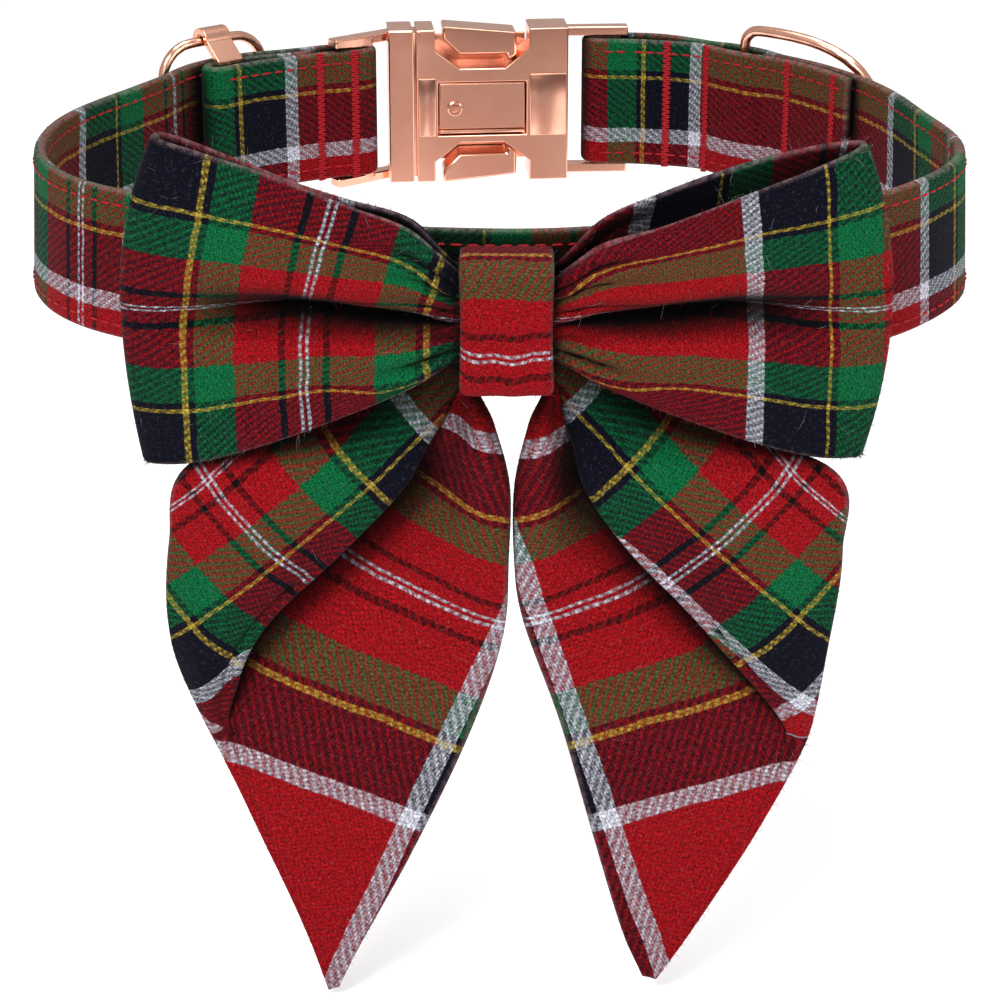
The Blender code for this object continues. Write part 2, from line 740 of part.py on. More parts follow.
def arms(name, root_u, root_v, bar_u, bar_v, tilt, target, frame):
    """Joins the two arms and the cross bar, which the strap is folded round, to a buckle half."""
    way = math.copysign(1, bar_u)
    far_u = bar_u + way * (BAR_WIDTH / 2 + ARM_OVERHANG)
    far_v = bar_v + (bar_v - root_v) / (bar_u - root_u) * (far_u - bar_u)
    length = math.hypot(far_u - root_u, far_v - root_v)
    angle = math.atan2(far_v - root_v, far_u - root_u)
    middle_u, middle_v = (root_u + far_u) / 2, (root_v + far_v) / 2
    inner, outer = STRAP_HALF + CLEARANCE, BUCKLE_HEIGHT / 2 - ARM_STEP
    for side in (-1, 1):
        low, high = sorted((side * inner, side * outer))
        arm = box(
            f"{name}_arm_{'upper' if side > 0 else 'lower'}",
            (middle_u - length / 2, middle_v - ARM_THICK / 2, low),
            (middle_u + length / 2, middle_v + ARM_THICK / 2, high),
            parent=frame,
            tilt=angle,
        )
        boolean(target, arm, "UNION")
    reach = inner + (outer - inner) * 0.5
    bar = box(
        f"{name}_bar",
        (bar_u - BAR_WIDTH / 2, bar_v - BAR_THICK / 2, -reach),
        (bar_u + BAR_WIDTH / 2, bar_v + BAR_THICK / 2, reach),
        parent=frame,
        tilt=tilt,
    )
    boolean(target, bar, "UNION")


def build_buckle(loop, gold):
    """The side release buckle: socket, plug, levers, plate and screw."""
    frame = bpy.data.objects.new("buckle_place", None)
    PARTS.objects.link(frame)
    frame.location = (BUCKLE_X, BUCKLE_Y, 0)
    frame.rotation_euler.z = BUCKLE_TURN
    half_high, half_thick = BUCKLE_HEIGHT / 2, BUCKLE_THICK / 2
    socket_left = SOCKET_RIGHT - SOCKET_LENGTH

    top, bottom = notch(1), notch(-1)
    outline = [(socket_left, -half_high)] + bottom + [(SOCKET_RIGHT, -half_high)]
    outline += [(SOCKET_RIGHT, half_high)] + top + [(socket_left, half_high)]
    outline = [(u, max(min(w, half_high), -half_high)) for u, w in outline]
    socket = plate("buckle_socket", [outline], BUCKLE_THICK, FACE_ON, gold, frame)
    recess = box(
        "recess_cutter",
        (RECESS_LEFT, -half_thick - 2 * MM, RECESS_BOTTOM),
        (RECESS_RIGHT, -half_thick + RECESS_DEPTH, RECESS_TOP),
        parent=frame,
    )
    boolean(socket, recess, "DIFFERENCE")
    cavity = box(
        "tongue_cutter",
        (
            socket_left - 2 * MM,
            -TONGUE_THICK / 2 - CLEARANCE,
            -TONGUE_HEIGHT / 2 - CLEARANCE,
        ),
        (TONGUE_END + CLEARANCE, TONGUE_THICK / 2 + CLEARANCE, TONGUE_HEIGHT / 2 + CLEARANCE),
        parent=frame,
    )
    boolean(socket, cavity, "DIFFERENCE")
    root = 1.5 * MM
    ahead = loop.ahead(loop.socket_bar)
    arms(
        "socket",
        SOCKET_RIGHT - root,
        0.0,
        SOCKET_BAR_U,
        -SOCKET_BAR_DROP,
        math.atan2(ahead.y, ahead.x) - BUCKLE_TURN,
        socket,
        frame,
    )
    bevel(socket, EDGE_BEVEL)

    plug_right = PLUG_LEFT + PLUG_LENGTH
    plug = box(
        "buckle_plug",
        (PLUG_LEFT, -half_thick, -half_high),
        (plug_right, half_thick, half_high),
        gold,
        frame,
    )
    tongue = box(
        "plug_tongue",
        (plug_right - root, -TONGUE_THICK / 2, -TONGUE_HEIGHT / 2),
        (TONGUE_END, TONGUE_THICK / 2, TONGUE_HEIGHT / 2),
        parent=frame,
    )
    boolean(plug, tongue, "UNION")
    ahead = loop.ahead(loop.plug_bar)
    arms(
        "plug",
        PLUG_LEFT + root,
        0.0,
        PLUG_BAR_U,
        -PLUG_BAR_DROP,
        math.atan2(ahead.y, ahead.x) - BUCKLE_TURN,
        plug,
        frame,
    )
    bevel(plug, EDGE_BEVEL)

    for side, name in ((1, "upper_lever"), (-1, "lower_lever")):
        pivot_w = side * (half_high - LEVER_PIVOT_SINK)
        high_left = half_high + LEVER_TIP_RISE
        high_right = half_high - LEVER_ROOT_SINK
        low = half_high - LEVER_HEIGHT
        slope = (half_high - NOTCH_LIP - NOTCH_DEPTH) / NOTCH_SLOPE_RUN
        seat = NOTCH_DEPTH + CLEARANCE * math.hypot(1, slope)
        seat += (LEVER_RIGHT - NOTCH_TOP_RIGHT + NOTCH_SLOPE_RUN) * slope
        shape = [
            (LEVER_LEFT, high_left),
            (LEVER_LEFT, low + LEVER_CHAMFER),
            (LEVER_LEFT + LEVER_CHAMFER, low),
            (LEVER_RIGHT - LEVER_FOOT * 1.2, low),
            (LEVER_RIGHT - LEVER_FOOT, seat - LEVER_FOOT * slope),
            (LEVER_RIGHT, seat),
            (LEVER_RIGHT, high_right),
        ]
        shape = [(u - LEVER_PIVOT_U, side * w - pivot_w) for u, w in shape]
        lever = plate(name, [shape], LEVER_THICK, FACE_ON, gold, frame)
        lever.location = (LEVER_PIVOT_U, 0, pivot_w)
        bevel(lever, EDGE_BEVEL * 0.8)

    plate_low = -half_thick + RECESS_DEPTH - CLEARANCE - PLATE_THICK
    box(
        "buckle_plate",
        (RECESS_LEFT + CLEARANCE, plate_low, RECESS_BOTTOM + PLATE_FOOT),
        (RECESS_RIGHT - CLEARANCE, plate_low + PLATE_THICK, RECESS_TOP - CLEARANCE),
        gold,
        frame,
    )
    bm = bmesh.new()
    bmesh.ops.create_cone(
        bm,
        cap_ends=True,
        segments=16,
        radius1=SCREW_RADIUS,
        radius2=SCREW_RADIUS * 0.85,
        depth=SCREW_HEIGHT,
    )
    bmesh.ops.rotate(bm, matrix=Matrix.Rotation(math.pi / 2, 3, "X"), verts=bm.verts)
    screw = add_object("buckle_screw", mesh_from(bm, "buckle_screw"), gold, frame)
    screw.location = (SCREW_U, plate_low - CLEARANCE - SCREW_HEIGHT / 2, SCREW_W)
    smooth_round(screw)


clear_scene()
PARTS = new_collection("pet_bow_tie_collar")
CUTTERS = new_collection("cutters", hidden=True)


def main():
    """Builds every piece of the collar."""
    loop = Loop()
    tartan = new_material("tartan_flannel", (0.35, 0.04, 0.06), 0.95, 0)
    bow_cloth = new_material("bow_flannel", (0.30, 0.05, 0.06), 0.95, 0)
    knot_cloth = new_material("knot_flannel", (0.45, 0.02, 0.04), 0.95, 0)
    tail_cloth = new_material("tail_flannel", (0.38, 0.03, 0.05), 0.95, 0)
    elastic = new_material("black_elastic", (0.02, 0.02, 0.025), 0.8, 0)
    gold = new_material("rose_gold", (0.72, 0.37, 0.28), 0.22, 1)

    strap_front = -LOOP_HALF_DEPTH - STRAP_THICK / 2 - STRAP_LEAN
    tail_y = strap_front - CLEARANCE - TAIL_WALL / 2
    knot_back = tail_y - TAIL_WALL / 2 - CLEARANCE
    pinch = BOW_SECTIONS[0][3] * BOW_DEPTH
    bow_y = knot_back - KNOT_WALL - CLEARANCE - BOW_WALL / 2 - pinch
    knot_front = bow_y - pinch - BOW_WALL / 2 - CLEARANCE - KNOT_WALL

    build_strap(loop, tartan)
    build_bow(bow_y, bow_cloth)
    build_knot(knot_front, knot_back, knot_cloth)
    build_tails(tail_y, tail_cloth)
    for side in (-1, 1):
        build_elastic(loop, side, elastic)
    build_ring(loop, gold)
    build_slider(loop, gold)
    build_buckle(loop, gold)


main()
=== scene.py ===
"""The looks of the tartan pet collar with its sailor bow: cloth, thread, elastic and rose gold fittings.

Metres, +Z up, the bow at -Y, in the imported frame. Stripe places are in millimetres of cloth.
"""

import logging
import math
from contextlib import contextmanager
from dataclasses import dataclass, field
from enum import Enum
from typing import Callable, Iterator, Sequence

import bmesh
import bpy
import numpy as np
from mathutils import Matrix, Vector
from mathutils.bvhtree import BVHTree


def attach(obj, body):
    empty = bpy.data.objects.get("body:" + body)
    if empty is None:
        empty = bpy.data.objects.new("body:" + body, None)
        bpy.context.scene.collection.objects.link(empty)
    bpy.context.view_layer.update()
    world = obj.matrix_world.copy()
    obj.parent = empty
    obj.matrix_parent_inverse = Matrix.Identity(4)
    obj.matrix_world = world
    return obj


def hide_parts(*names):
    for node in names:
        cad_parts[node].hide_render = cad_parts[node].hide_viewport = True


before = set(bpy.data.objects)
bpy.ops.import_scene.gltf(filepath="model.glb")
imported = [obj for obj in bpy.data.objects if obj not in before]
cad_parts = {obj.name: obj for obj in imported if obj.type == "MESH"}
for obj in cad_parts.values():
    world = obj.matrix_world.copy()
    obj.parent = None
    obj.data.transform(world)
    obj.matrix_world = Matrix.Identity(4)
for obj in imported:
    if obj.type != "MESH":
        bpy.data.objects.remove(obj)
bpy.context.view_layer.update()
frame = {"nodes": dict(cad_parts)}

MM = 0.001
LOG = logging.getLogger("collar")

# Places in the tartan's repeat, in millimetres of cloth
REPEAT = 97
WHITE_BAND = 30
YELLOW_LINE = 18.65

Point = tuple[float, float, float]
Place = Callable[[float, float], Point]
Weave = Callable[[float, float, Point], tuple[float, float]]


class Held(Enum):
    """How a sheet is held, in the frame's words."""

    GATHERED = "gathered"
    FOLDED = "folded"
    STRETCHED = "stretched"
    HUNG = "hung"


def linear(hex_colour: str) -> tuple[float, float, float, float]:
    """Turns an sRGB hex colour to linear.

    Args:
        hex_colour: Six hex digits.

    Returns:
        Red, green, blue and an alpha of one.
    """
    parts = [int(hex_colour[at : at + 2], 16) / 255 for at in (0, 2, 4)]
    red, green, blue = ((c / 12.92 if c <= 0.04045 else ((c + 0.055) / 1.055) ** 2.4) for c in parts)
    return (red, green, blue, 1.0)


class Shading:
    """A material in the making, with short calls for the nodes that it uses most."""

    def __init__(self, name: str) -> None:
        """Starts an empty material.

        Args:
            name: The material's name.
        """
        self.material = bpy.data.materials.new(name)
        self.material.use_nodes = True
        self.tree = self.material.node_tree
        self.tree.nodes.clear()
        self.output = self.tree.nodes.new("ShaderNodeOutputMaterial")

    def add(self, kind: str, links: dict | None = None, **settings) -> bpy.types.Node:
        """Adds a node with its settings and its links.

        Args:
            kind: Blender's name of the node, without its first words.
            links: Values, nodes or output sockets, by input name or place.
            **settings: The node's own settings.

        Returns:
            The new node.
        """
        node = self.tree.nodes.new(f"ShaderNode{kind}")
        for name, value in settings.items():
            setattr(node, name, value)
        for key, value in (links or {}).items():
            if isinstance(value, bpy.types.Node):
                value = value.outputs[0]
            if isinstance(value, bpy.types.NodeSocket):
                self.tree.links.new(value, node.inputs[key])
            else:
                node.inputs[key].default_value = value
        return node

    def math(self, operation: str, *values) -> bpy.types.Node:
        """Adds a sum of plain numbers."""
        return self.add("Math", dict(enumerate(values)), operation=operation)

    def vector(self, operation: str, *values) -> bpy.types.Node:
        """Adds a sum of vectors."""
        return self.add("VectorMath", dict(enumerate(values)), operation=operation)

    def remap(self, value, *ends: float) -> bpy.types.Node:
        """Adds a change of range: from low and high, to low and high, held at the ends."""
        return self.add("MapRange", {0: value, **dict(enumerate(ends, 1))})

    def mix(self, share, first, second, blend: str = "MIX") -> bpy.types.NodeSocket:
        """Adds a mix of two colours."""
        node = self.add("Mix", {0: share, 6: first, 7: second}, data_type="RGBA", blend_type=blend)
        return node.outputs[2]

    def noise(self, place, scale: float, detail: float = 2.0, roughness: float = 0.5) -> bpy.types.Node:
        """Adds a cloudy noise."""
        return self.add(
            "TexNoise", {"Vector": place, "Scale": scale, "Detail": detail, "Roughness": roughness}
        )

    def place(self) -> bpy.types.NodeSocket:
        """The place in the piece's own coordinates."""
        return self.add("TexCoord").outputs["Object"]

    def reading(self, name: str) -> bpy.types.NodeSocket:
        """The value of one of the piece's own attributes."""
        return self.add("Attribute", attribute_name=name).outputs["Fac"]

    def finish(self, sockets: dict) -> bpy.types.Material:
        """Ends the material with its surface.

        Args:
            sockets: The surface's inputs by name.

        Returns:
            The material.
        """
        surface = self.add("BsdfPrincipled", sockets)
        self.tree.links.new(surface.outputs[0], self.output.inputs[0])
        return self.material


@dataclass(frozen=True)
class Tartan:
    """Cotton flannel in a 2/2 twill, brushed: soft ribs, broken stripes and a fuzzy face.

    Stripe ends are millimetres from the thin white stripe's middle to the middle of the broad red.
    """

    name: str = "cotton_flannel_brushed_twill"
    red: str = "82060f"
    green: str = "00532d"
    navy: str = "040413"
    black: str = "040305"
    white: str = "b4b4c0"
    yellow: str = "9e8832"
    lint: str = "8c847c"
    worn: str = "8a7074"
    half_repeat: float = 48.5
    warp_pitch: float = 0.36
    weft_pitch: float = 0.52
    nap: float = 0.6
    blend: float = 0.22
    relief: float = 0.00016
    stripes: tuple[tuple[float, str], ...] = (
        (0.15, "red"),
        (0.5, "white"),
        (2.6, "red"),
        (3.7, "black"),
        (10.3, "red"),
        (16.9, "green"),
        (18.1, "navy"),
        (18.9, "yellow"),
        (28.5, "navy"),
        (31.4, "white"),
        (48.5, "red"),
    )

    def stripe_colour(self, paint: Shading, thread: bpy.types.NodeSocket, pitch: float) -> bpy.types.Node:
        """The dyed colour of a thread from its number.

        Args:
            paint: The material in the making.
            thread: The thread's number.
            pitch: The distance between threads in millimetres.

        Returns:
            The ramp that gives the colour.
        """
        place = paint.math("MULTIPLY", thread, pitch)
        folded = paint.math("PINGPONG", place, self.half_repeat)
        share = paint.math("DIVIDE", folded, self.half_repeat)
        ramp = paint.add("ValToRGB", {0: share})
        ramp.color_ramp.interpolation = "CONSTANT"
        stops = ramp.color_ramp.elements
        start = 0.0
        for index, (end, colour) in enumerate(self.stripes):
            stop = stops[0] if index == 0 else stops.new(start / self.half_repeat)
            stop.color = linear(getattr(self, colour))
            start = end
        last = stops[len(self.stripes)]
        last.position = 1.0
        last.color = linear(self.red)
        return ramp

    def build(self) -> bpy.types.Material:
        """Builds the cloth's material.

        Returns:
            The material, which reads the piece's "weave" map and its "rim" and "open" attributes; "open" sets
            its painted fold shade.
        """
        paint = Shading(self.name)
        weave = paint.add("UVMap", uv_map="weave").outputs[0]
        sway = paint.noise(weave, 0.11).outputs["Color"]
        shiver = paint.noise(weave, 2.3).outputs["Color"]
        swayed = paint.vector("MULTIPLY_ADD", sway, (0.9, 0.9, 0), weave)
        moved = paint.vector("MULTIPLY_ADD", shiver, (0.34, 0.36, 0), swayed)
        centred = paint.vector("SUBTRACT", moved, (0.62, 0.63, 0))
        pitches = (1 / self.warp_pitch, 1 / self.weft_pitch, 0)
        counted = paint.vector("MULTIPLY_ADD", centred, pitches, (0.5, 0.5, 0))
        warp, weft, _ = paint.add("SeparateXYZ", {0: paint.vector("FLOOR", counted)}).outputs
        over_warp, over_weft, _ = paint.add("SeparateXYZ", {0: paint.vector("FRACTION", counted)}).outputs
        step = paint.math("FLOORED_MODULO", paint.math("ADD", warp, weft), 4.0)
        warp_over = paint.math("LESS_THAN", step, 1.5)
        warp_colour = self.stripe_colour(paint, warp, self.warp_pitch)
        weft_colour = self.stripe_colour(paint, weft, self.weft_pitch)
        upper = paint.mix(warp_over, weft_colour, warp_colour)
        lower = paint.mix(warp_over, warp_colour, weft_colour)

        # Height of the upper thread: round across, and sunk at both ends of its float
        rounds = []
        for across, along, middle in ((over_warp, over_weft, 1.0), (over_weft, over_warp, 3.0)):
            wide = paint.math("MULTIPLY_ADD", across, 2.0, -1.0)
            run = paint.math("SUBTRACT", paint.math("ADD", step, along), middle)
            sunk = paint.math("MULTIPLY_ADD", paint.math("MULTIPLY", run, run), -0.55, 1.0)
            rounds.append(paint.math("MULTIPLY_ADD", paint.math("MULTIPLY", wide, wide), -0.5, sunk))
        height = paint.add("Mix", {0: warp_over, 2: rounds[1], 3: rounds[0]}, data_type="FLOAT")

        # Brushing brings up fibres of the thread below
        fibres = paint.noise(weave, 4.2, 4.0, 0.7)
        tufts = paint.noise(weave, 0.9, 3.0)
        hairs = paint.noise(paint.vector("MULTIPLY", weave, (1.0, 0.62, 1)), 2.6, 3.0, 0.65)
        brushed = paint.mix(paint.remap(hairs, 0.44, 0.6, 0.0, self.nap), upper, lower)
        # Where two dyes cross, the brushed fibres blend them and look a little darker
        blended = paint.mix(self.blend, brushed, paint.mix(0.5, upper, lower))
        gap = paint.vector("DISTANCE", upper, lower).outputs["Value"]
        crossing = paint.remap(gap, 0.0, 0.22, 1.0, 0.76)
        # Painted shade on the weave: each thread's colour is darkened at its edges and at its float's ends,
        # and lightened on its crown
        shade = paint.remap(height, 0.0, 1.0, 0.38, 1.16)
        speckle = paint.remap(paint.noise(moved, 2.1, 3.0, 0.75), 0.34, 0.66, 0.35, 1.55)
        # The painted shade, with the yarn's speckle and the darker dye crossings, multiplies the colour
        painted_shade_grain_and_blend = paint.math("MULTIPLY", paint.math("MULTIPLY", shade, speckle), crossing)
        cloth = paint.mix(1.0, blended, painted_shade_grain_and_blend, "MULTIPLY")
        # Loose pale fibres veil the dark stripes here and there
        veil = paint.remap(paint.noise(weave, 1.5, 4.0, 0.8), 0.55, 0.72, 0.0, 0.11)
        hazy = paint.mix(veil, cloth, linear(self.lint))
        # Worn edges show the pale heart of the yarn
        near = paint.remap(paint.reading("rim"), 0.1, 0.75, 0.35, 0.0)
        patchy = paint.remap(tufts, 0.35, 0.6, 0.15, 1.0)
        worn = paint.mix(paint.math("MULTIPLY", near, patchy), hazy, linear(self.worn))
        # Painted fold shade: the colour darkens where the cloth lies less open, inside folds and under other
        # pieces
        depth = paint.math("POWER", paint.remap(paint.reading("open"), 0.28, 0.95, 0.06, 1.0), 1.7)
        folded = paint.mix(1.0, worn, depth, "MULTIPLY")
        fuzz = paint.math("MULTIPLY_ADD", fibres, 0.5, height)
        bump = paint.add("Bump", {"Height": fuzz, "Distance": self.relief, "Strength": 0.55})
        return paint.finish(
            {
                "Base Color": folded,
                "Roughness": 0.93,
                "Specular IOR Level": 0.08,
                "Sheen Weight": 0.02,
                "Sheen Roughness": 0.45,
                "Normal": bump,
            }
        )


@dataclass(frozen=True)
class RoseGold:
    """Zinc alloy, die cast and polished, plated in rose gold: mirror gloss with fine handling marks."""

    name: str = "rose_gold_plated_zinc"
    colour: str = "f2b69c"
    deep: str = "ecac92"
    roughness: float = 0.19

    def build(self) -> bpy.types.Material:
        """Builds the plated metal.

        Returns:
            The material, on Object coordinates.
        """
        paint = Shading(self.name)
        place = paint.place()
        clouds = paint.noise(place, 260.0, 3.0)
        marks = paint.noise(place, 2600.0, 4.0)
        tone = paint.remap(clouds, 0.3, 0.7)
        colour = paint.mix(tone, linear(self.colour), linear(self.deep))
        rough = paint.remap(clouds, 0.3, 0.7, self.roughness, self.roughness + 0.03)
        bump = paint.add("Bump", {"Height": marks, "Distance": 0.00001, "Strength": 0.25})
        return paint.finish({"Base Color": colour, "Metallic": 1.0, "Roughness": rough, "Normal": bump})


@dataclass(frozen=True)
class BraidedElastic:
    """Polyester and rubber, braided flat: black, with ribs along it and a low shine."""

    name: str = "black_braided_elastic"
    black_in_painted_shade: str = "08080a"
    black_in_painted_light: str = "2a2a2e"

    def build(self) -> bpy.types.Material:
        """Builds the elastic's material.

        Returns:
            The material, which reads the piece's "weave" map.
        """
        paint = Shading(self.name)
        weave = paint.add("UVMap", uv_map="weave")
        ribs = paint.add("TexWave", {"Vector": weave, "Scale": 0.32, "Distortion": 0.6}, bands_direction="X")
        height = ribs.outputs[1]
        # Painted shade: the black braid is darker in its grooves and lighter on its ribs, by the ribs' height
        shade = paint.mix(height, linear(self.black_in_painted_shade), linear(self.black_in_painted_light))
        bump = paint.add("Bump", {"Height": height, "Distance": 0.0002, "Strength": 0.6})
        return paint.finish(
            {"Base Color": shade, "Roughness": 0.75, "Specular IOR Level": 0.2, "Normal": bump}
        )


@dataclass(frozen=True)
class CottonLint:
    """Loose undyed cotton fibre: matt, pale and uneven."""

    name: str = "undyed_cotton_lint"
    colour: str = "9c948e"
    dull: str = "5c4a48"

    def build(self) -> bpy.types.Material:
        """Builds the lint's material.

        Returns:
            The material, on Object coordinates.
        """
        paint = Shading(self.name)
        change = paint.noise(paint.place(), 300.0)
        colour = paint.mix(change, linear(self.colour), linear(self.dull))
        return paint.finish({"Base Color": colour, "Roughness": 0.95})


@dataclass(frozen=True)
class SewingThread:
    """Polyester sewing thread, spun and twisted: a soft shine with fine slanted strands."""

    name: str = "polyester_sewing_thread_red"
    colour: str = "9a0816"

    def build(self) -> bpy.types.Material:
        """Builds the thread's material.

        Returns:
            The material, on Object coordinates.
        """
        paint = Shading(self.name)
        shade = paint.remap(paint.noise(paint.place(), 4200.0), 0.3, 0.7, 0.6, 1.2)
        colour = paint.mix(1.0, linear(self.colour), shade, "MULTIPLY")
        return paint.finish({"Base Color": colour, "Roughness": 0.6, "Specular IOR Level": 0.2})


def table_value(rows: Sequence[Sequence[float]], column: int, share: float) -> float:
    """Reads one column of a table at a share, along a smooth curve through the rows.

    Args:
        rows: The table, its first column rising.
        column: The column to read.
        share: The place in the first column.

    Returns:
        The value there.
    """
    along = [row[0] for row in rows]
    values = [row[column] for row in rows]
    share = min(max(share, along[0]), along[-1])
    index = min(max(int(np.searchsorted(along, share)) - 1, 0), len(rows) - 2)
    span = along[index + 1] - along[index]
    part = (share - along[index]) / span
    slopes = []
    for at in (index, index + 1):
        before, after = max(at - 1, 0), min(at + 1, len(rows) - 1)
        slopes.append((values[after] - values[before]) / (along[after] - along[before]))
    return (
        (2 * part**3 - 3 * part**2 + 1) * values[index]
        + (part**3 - 2 * part**2 + part) * span * slopes[0]
        + (-2 * part**3 + 3 * part**2) * values[index + 1]
        + (part**3 - part**2) * span * slopes[1]
    )


def ease(share: float) -> float:
    """0 to 1 with a soft start and end."""
    share = min(max(share, 0.0), 1.0)
    return share * share * (3 - 2 * share)


def bump_at(at: float, middle: float, reach: float, flat: float) -> float:
    """1 within flat of the middle, falling softly to 0 at the reach."""
    return ease((reach - abs(at - middle)) / (reach - flat))


def spaced(count: int, length: float, wall: float) -> tuple[np.ndarray, np.ndarray]:
    """Places along a sheet's side, closer at both ends, and the wall's share there.

    Args:
        count: How many equal steps lie between the rounded ends.
        length: The side's length.
        wall: The cloth's thickness.

    Returns:
        The places from 0 to 1, and the shares of the wall, which round its edge.
    """
    reach = wall / 2 / length
    near = np.array([0.0, 0.06, 0.24, 0.56]) * reach
    middle = np.linspace(reach, 1 - reach, count + 1)
    places = np.concatenate([near, middle, 1 - near[::-1]])
    depth = np.minimum(places, 1 - places) / reach
    return places, np.sqrt(np.clip(1 - (1 - np.clip(depth, 0, 1)) ** 2, 0, 1))


@dataclass
class Cloth:
    """A closed sheet of cloth with rounded edges, made from a place function."""

    name: str
    place: Place
    weave: Weave
    wall: float
    length: float
    width: float
    columns: int
    rows: int
    ring: bool = False
    lining_shift: Sequence[float] = ()
    points: np.ndarray = field(default=None, repr=False)
    normals: np.ndarray = field(default=None, repr=False)
    maps: np.ndarray = field(default=None, repr=False)

    def build(self, material: bpy.types.Material) -> bpy.types.Object:
        """Makes the sheet's mesh.

        Args:
            material: The cloth's finish.

        Returns:
            The sheet as an object at the origin.
        """
        if self.ring:
            along = np.arange(self.columns) / self.columns
            along_share = np.ones(self.columns)
        else:
            along, along_share = spaced(self.columns, self.length, self.wall)
        across, across_share = spaced(self.rows, self.width, self.wall)
        count, deep = len(along), len(across)
        points = np.array([[self.place(a, b) for b in across] for a in along])
        maps = np.array(
            [[self.weave(a, b, points[i, j]) for j, b in enumerate(across)] for i, a in enumerate(along)]
        )
        if self.ring:
            run = np.roll(points, -1, axis=0) - np.roll(points, 1, axis=0)
        else:
            run = np.gradient(points, axis=0)
        normals = np.cross(run, np.gradient(points, axis=1))
        normals /= np.maximum(np.linalg.norm(normals, axis=2, keepdims=True), 1e-12)
        share = np.minimum(along_share[:, None], across_share[None, :])
        offset = normals * share[:, :, None] * self.wall / 2
        rim = np.minimum(across, 1 - across)[None, :] * self.width / MM * np.ones((count, 1))
        if not self.ring:
            rim = np.minimum(rim, np.minimum(along, 1 - along)[:, None] * self.length / MM)
        self.points, self.normals, self.maps = points, normals, maps

        front = np.arange(count * deep).reshape(count, deep)
        back = front + count * deep
        edge = share <= 0
        back = np.where(edge, front, back)
        rows = np.arange(count if self.ring else count - 1)
        ahead = (rows + 1) % count
        faces = []
        for grid, flip in ((front, False), (back, True)):
            quads = np.stack(
                [grid[rows, :-1], grid[ahead, :-1], grid[ahead, 1:], grid[rows, 1:]], axis=-1
            ).reshape(-1, 4)
            faces.append(quads[:, ::-1] if flip else quads)
        faces = np.concatenate(faces)
        vertices = np.concatenate([(points + offset).reshape(-1, 3), (points - offset).reshape(-1, 3)])
        lining = maps.copy()
        if len(self.lining_shift):
            shares = np.linspace(0, 1, len(self.lining_shift))
            lining[:, :, 1] += np.interp(along, shares, self.lining_shift)[:, None]
        flat_maps = np.concatenate([lining.reshape(-1, 2), maps.reshape(-1, 2)])
        flat_rim = np.concatenate([rim.reshape(-1)] * 2)
        used, new = np.unique(faces, return_inverse=True)
        return new_mesh(
            self.name, vertices[used], new.reshape(-1, 4), flat_maps[used], flat_rim[used], material
        )

    def flat_size(self) -> tuple[float, float]:
        """The size that the sheet was cut to, measured along its own lines."""
        along = np.linalg.norm(np.diff(self.points, axis=0), axis=2).sum(axis=0)
        if self.ring:
            along += np.linalg.norm(self.points[0] - self.points[-1], axis=1)
        across = np.linalg.norm(np.diff(self.points, axis=1), axis=2).sum(axis=1)
        return float(np.mean(across)), float(np.mean(along))


def new_mesh(
    name: str,
    vertices: np.ndarray,
    faces: np.ndarray,
    maps: np.ndarray,
    rim: np.ndarray,
    material: bpy.types.Material,
) -> bpy.types.Object:
    """Makes a smooth mesh object with its weave map and rim attribute.

    Args:
        name: The piece's name.
        vertices: Places in metres.
        faces: Corners of each face.
        maps: The weave map at each vertex.
        rim: Millimetres to the nearest edge at each vertex.
        material: The finish.

    Returns:
        The linked object.
    """
    mesh = bpy.data.meshes.new(name)
    mesh.from_pydata(vertices.tolist(), [], faces.tolist())
    layer = mesh.uv_layers.new(name="weave")
    corners = np.empty(len(mesh.loops), dtype=np.int32)
    mesh.loops.foreach_get("vertex_index", corners)
    layer.data.foreach_set("uv", maps[corners].astype(np.float32).ravel())
    edge = mesh.attributes.new("rim", "FLOAT", "POINT")
    edge.data.foreach_set("value", rim.astype(np.float32))
    # Openness for the flannel's painted fold shade, 1 until it is measured
    painted_shade_openness = mesh.attributes.new("open", "FLOAT", "POINT")
    painted_shade_openness.data.foreach_set("value", np.ones(len(vertices), dtype=np.float32))
    mesh.materials.append(material)
    mesh.shade_smooth()
    piece = bpy.data.objects.new(name, mesh)
    bpy.context.scene.collection.objects.link(piece)
    outward(piece)
    return piece


@contextmanager
def editing() -> Iterator[None]:
    """Edit mode on the active piece with its whole mesh selected, and back to object mode."""
    bpy.ops.object.mode_set(mode="EDIT")
    bpy.ops.mesh.select_all(action="SELECT")
    yield
    bpy.ops.object.mode_set(mode="OBJECT")


def outward(piece: bpy.types.Object) -> None:
    """Points a piece's faces outwards."""
    bm = bmesh.new()
    bm.from_mesh(piece.data)
    bmesh.ops.recalc_face_normals(bm, faces=bm.faces)
    bm.to_mesh(piece.data)
    bm.free()


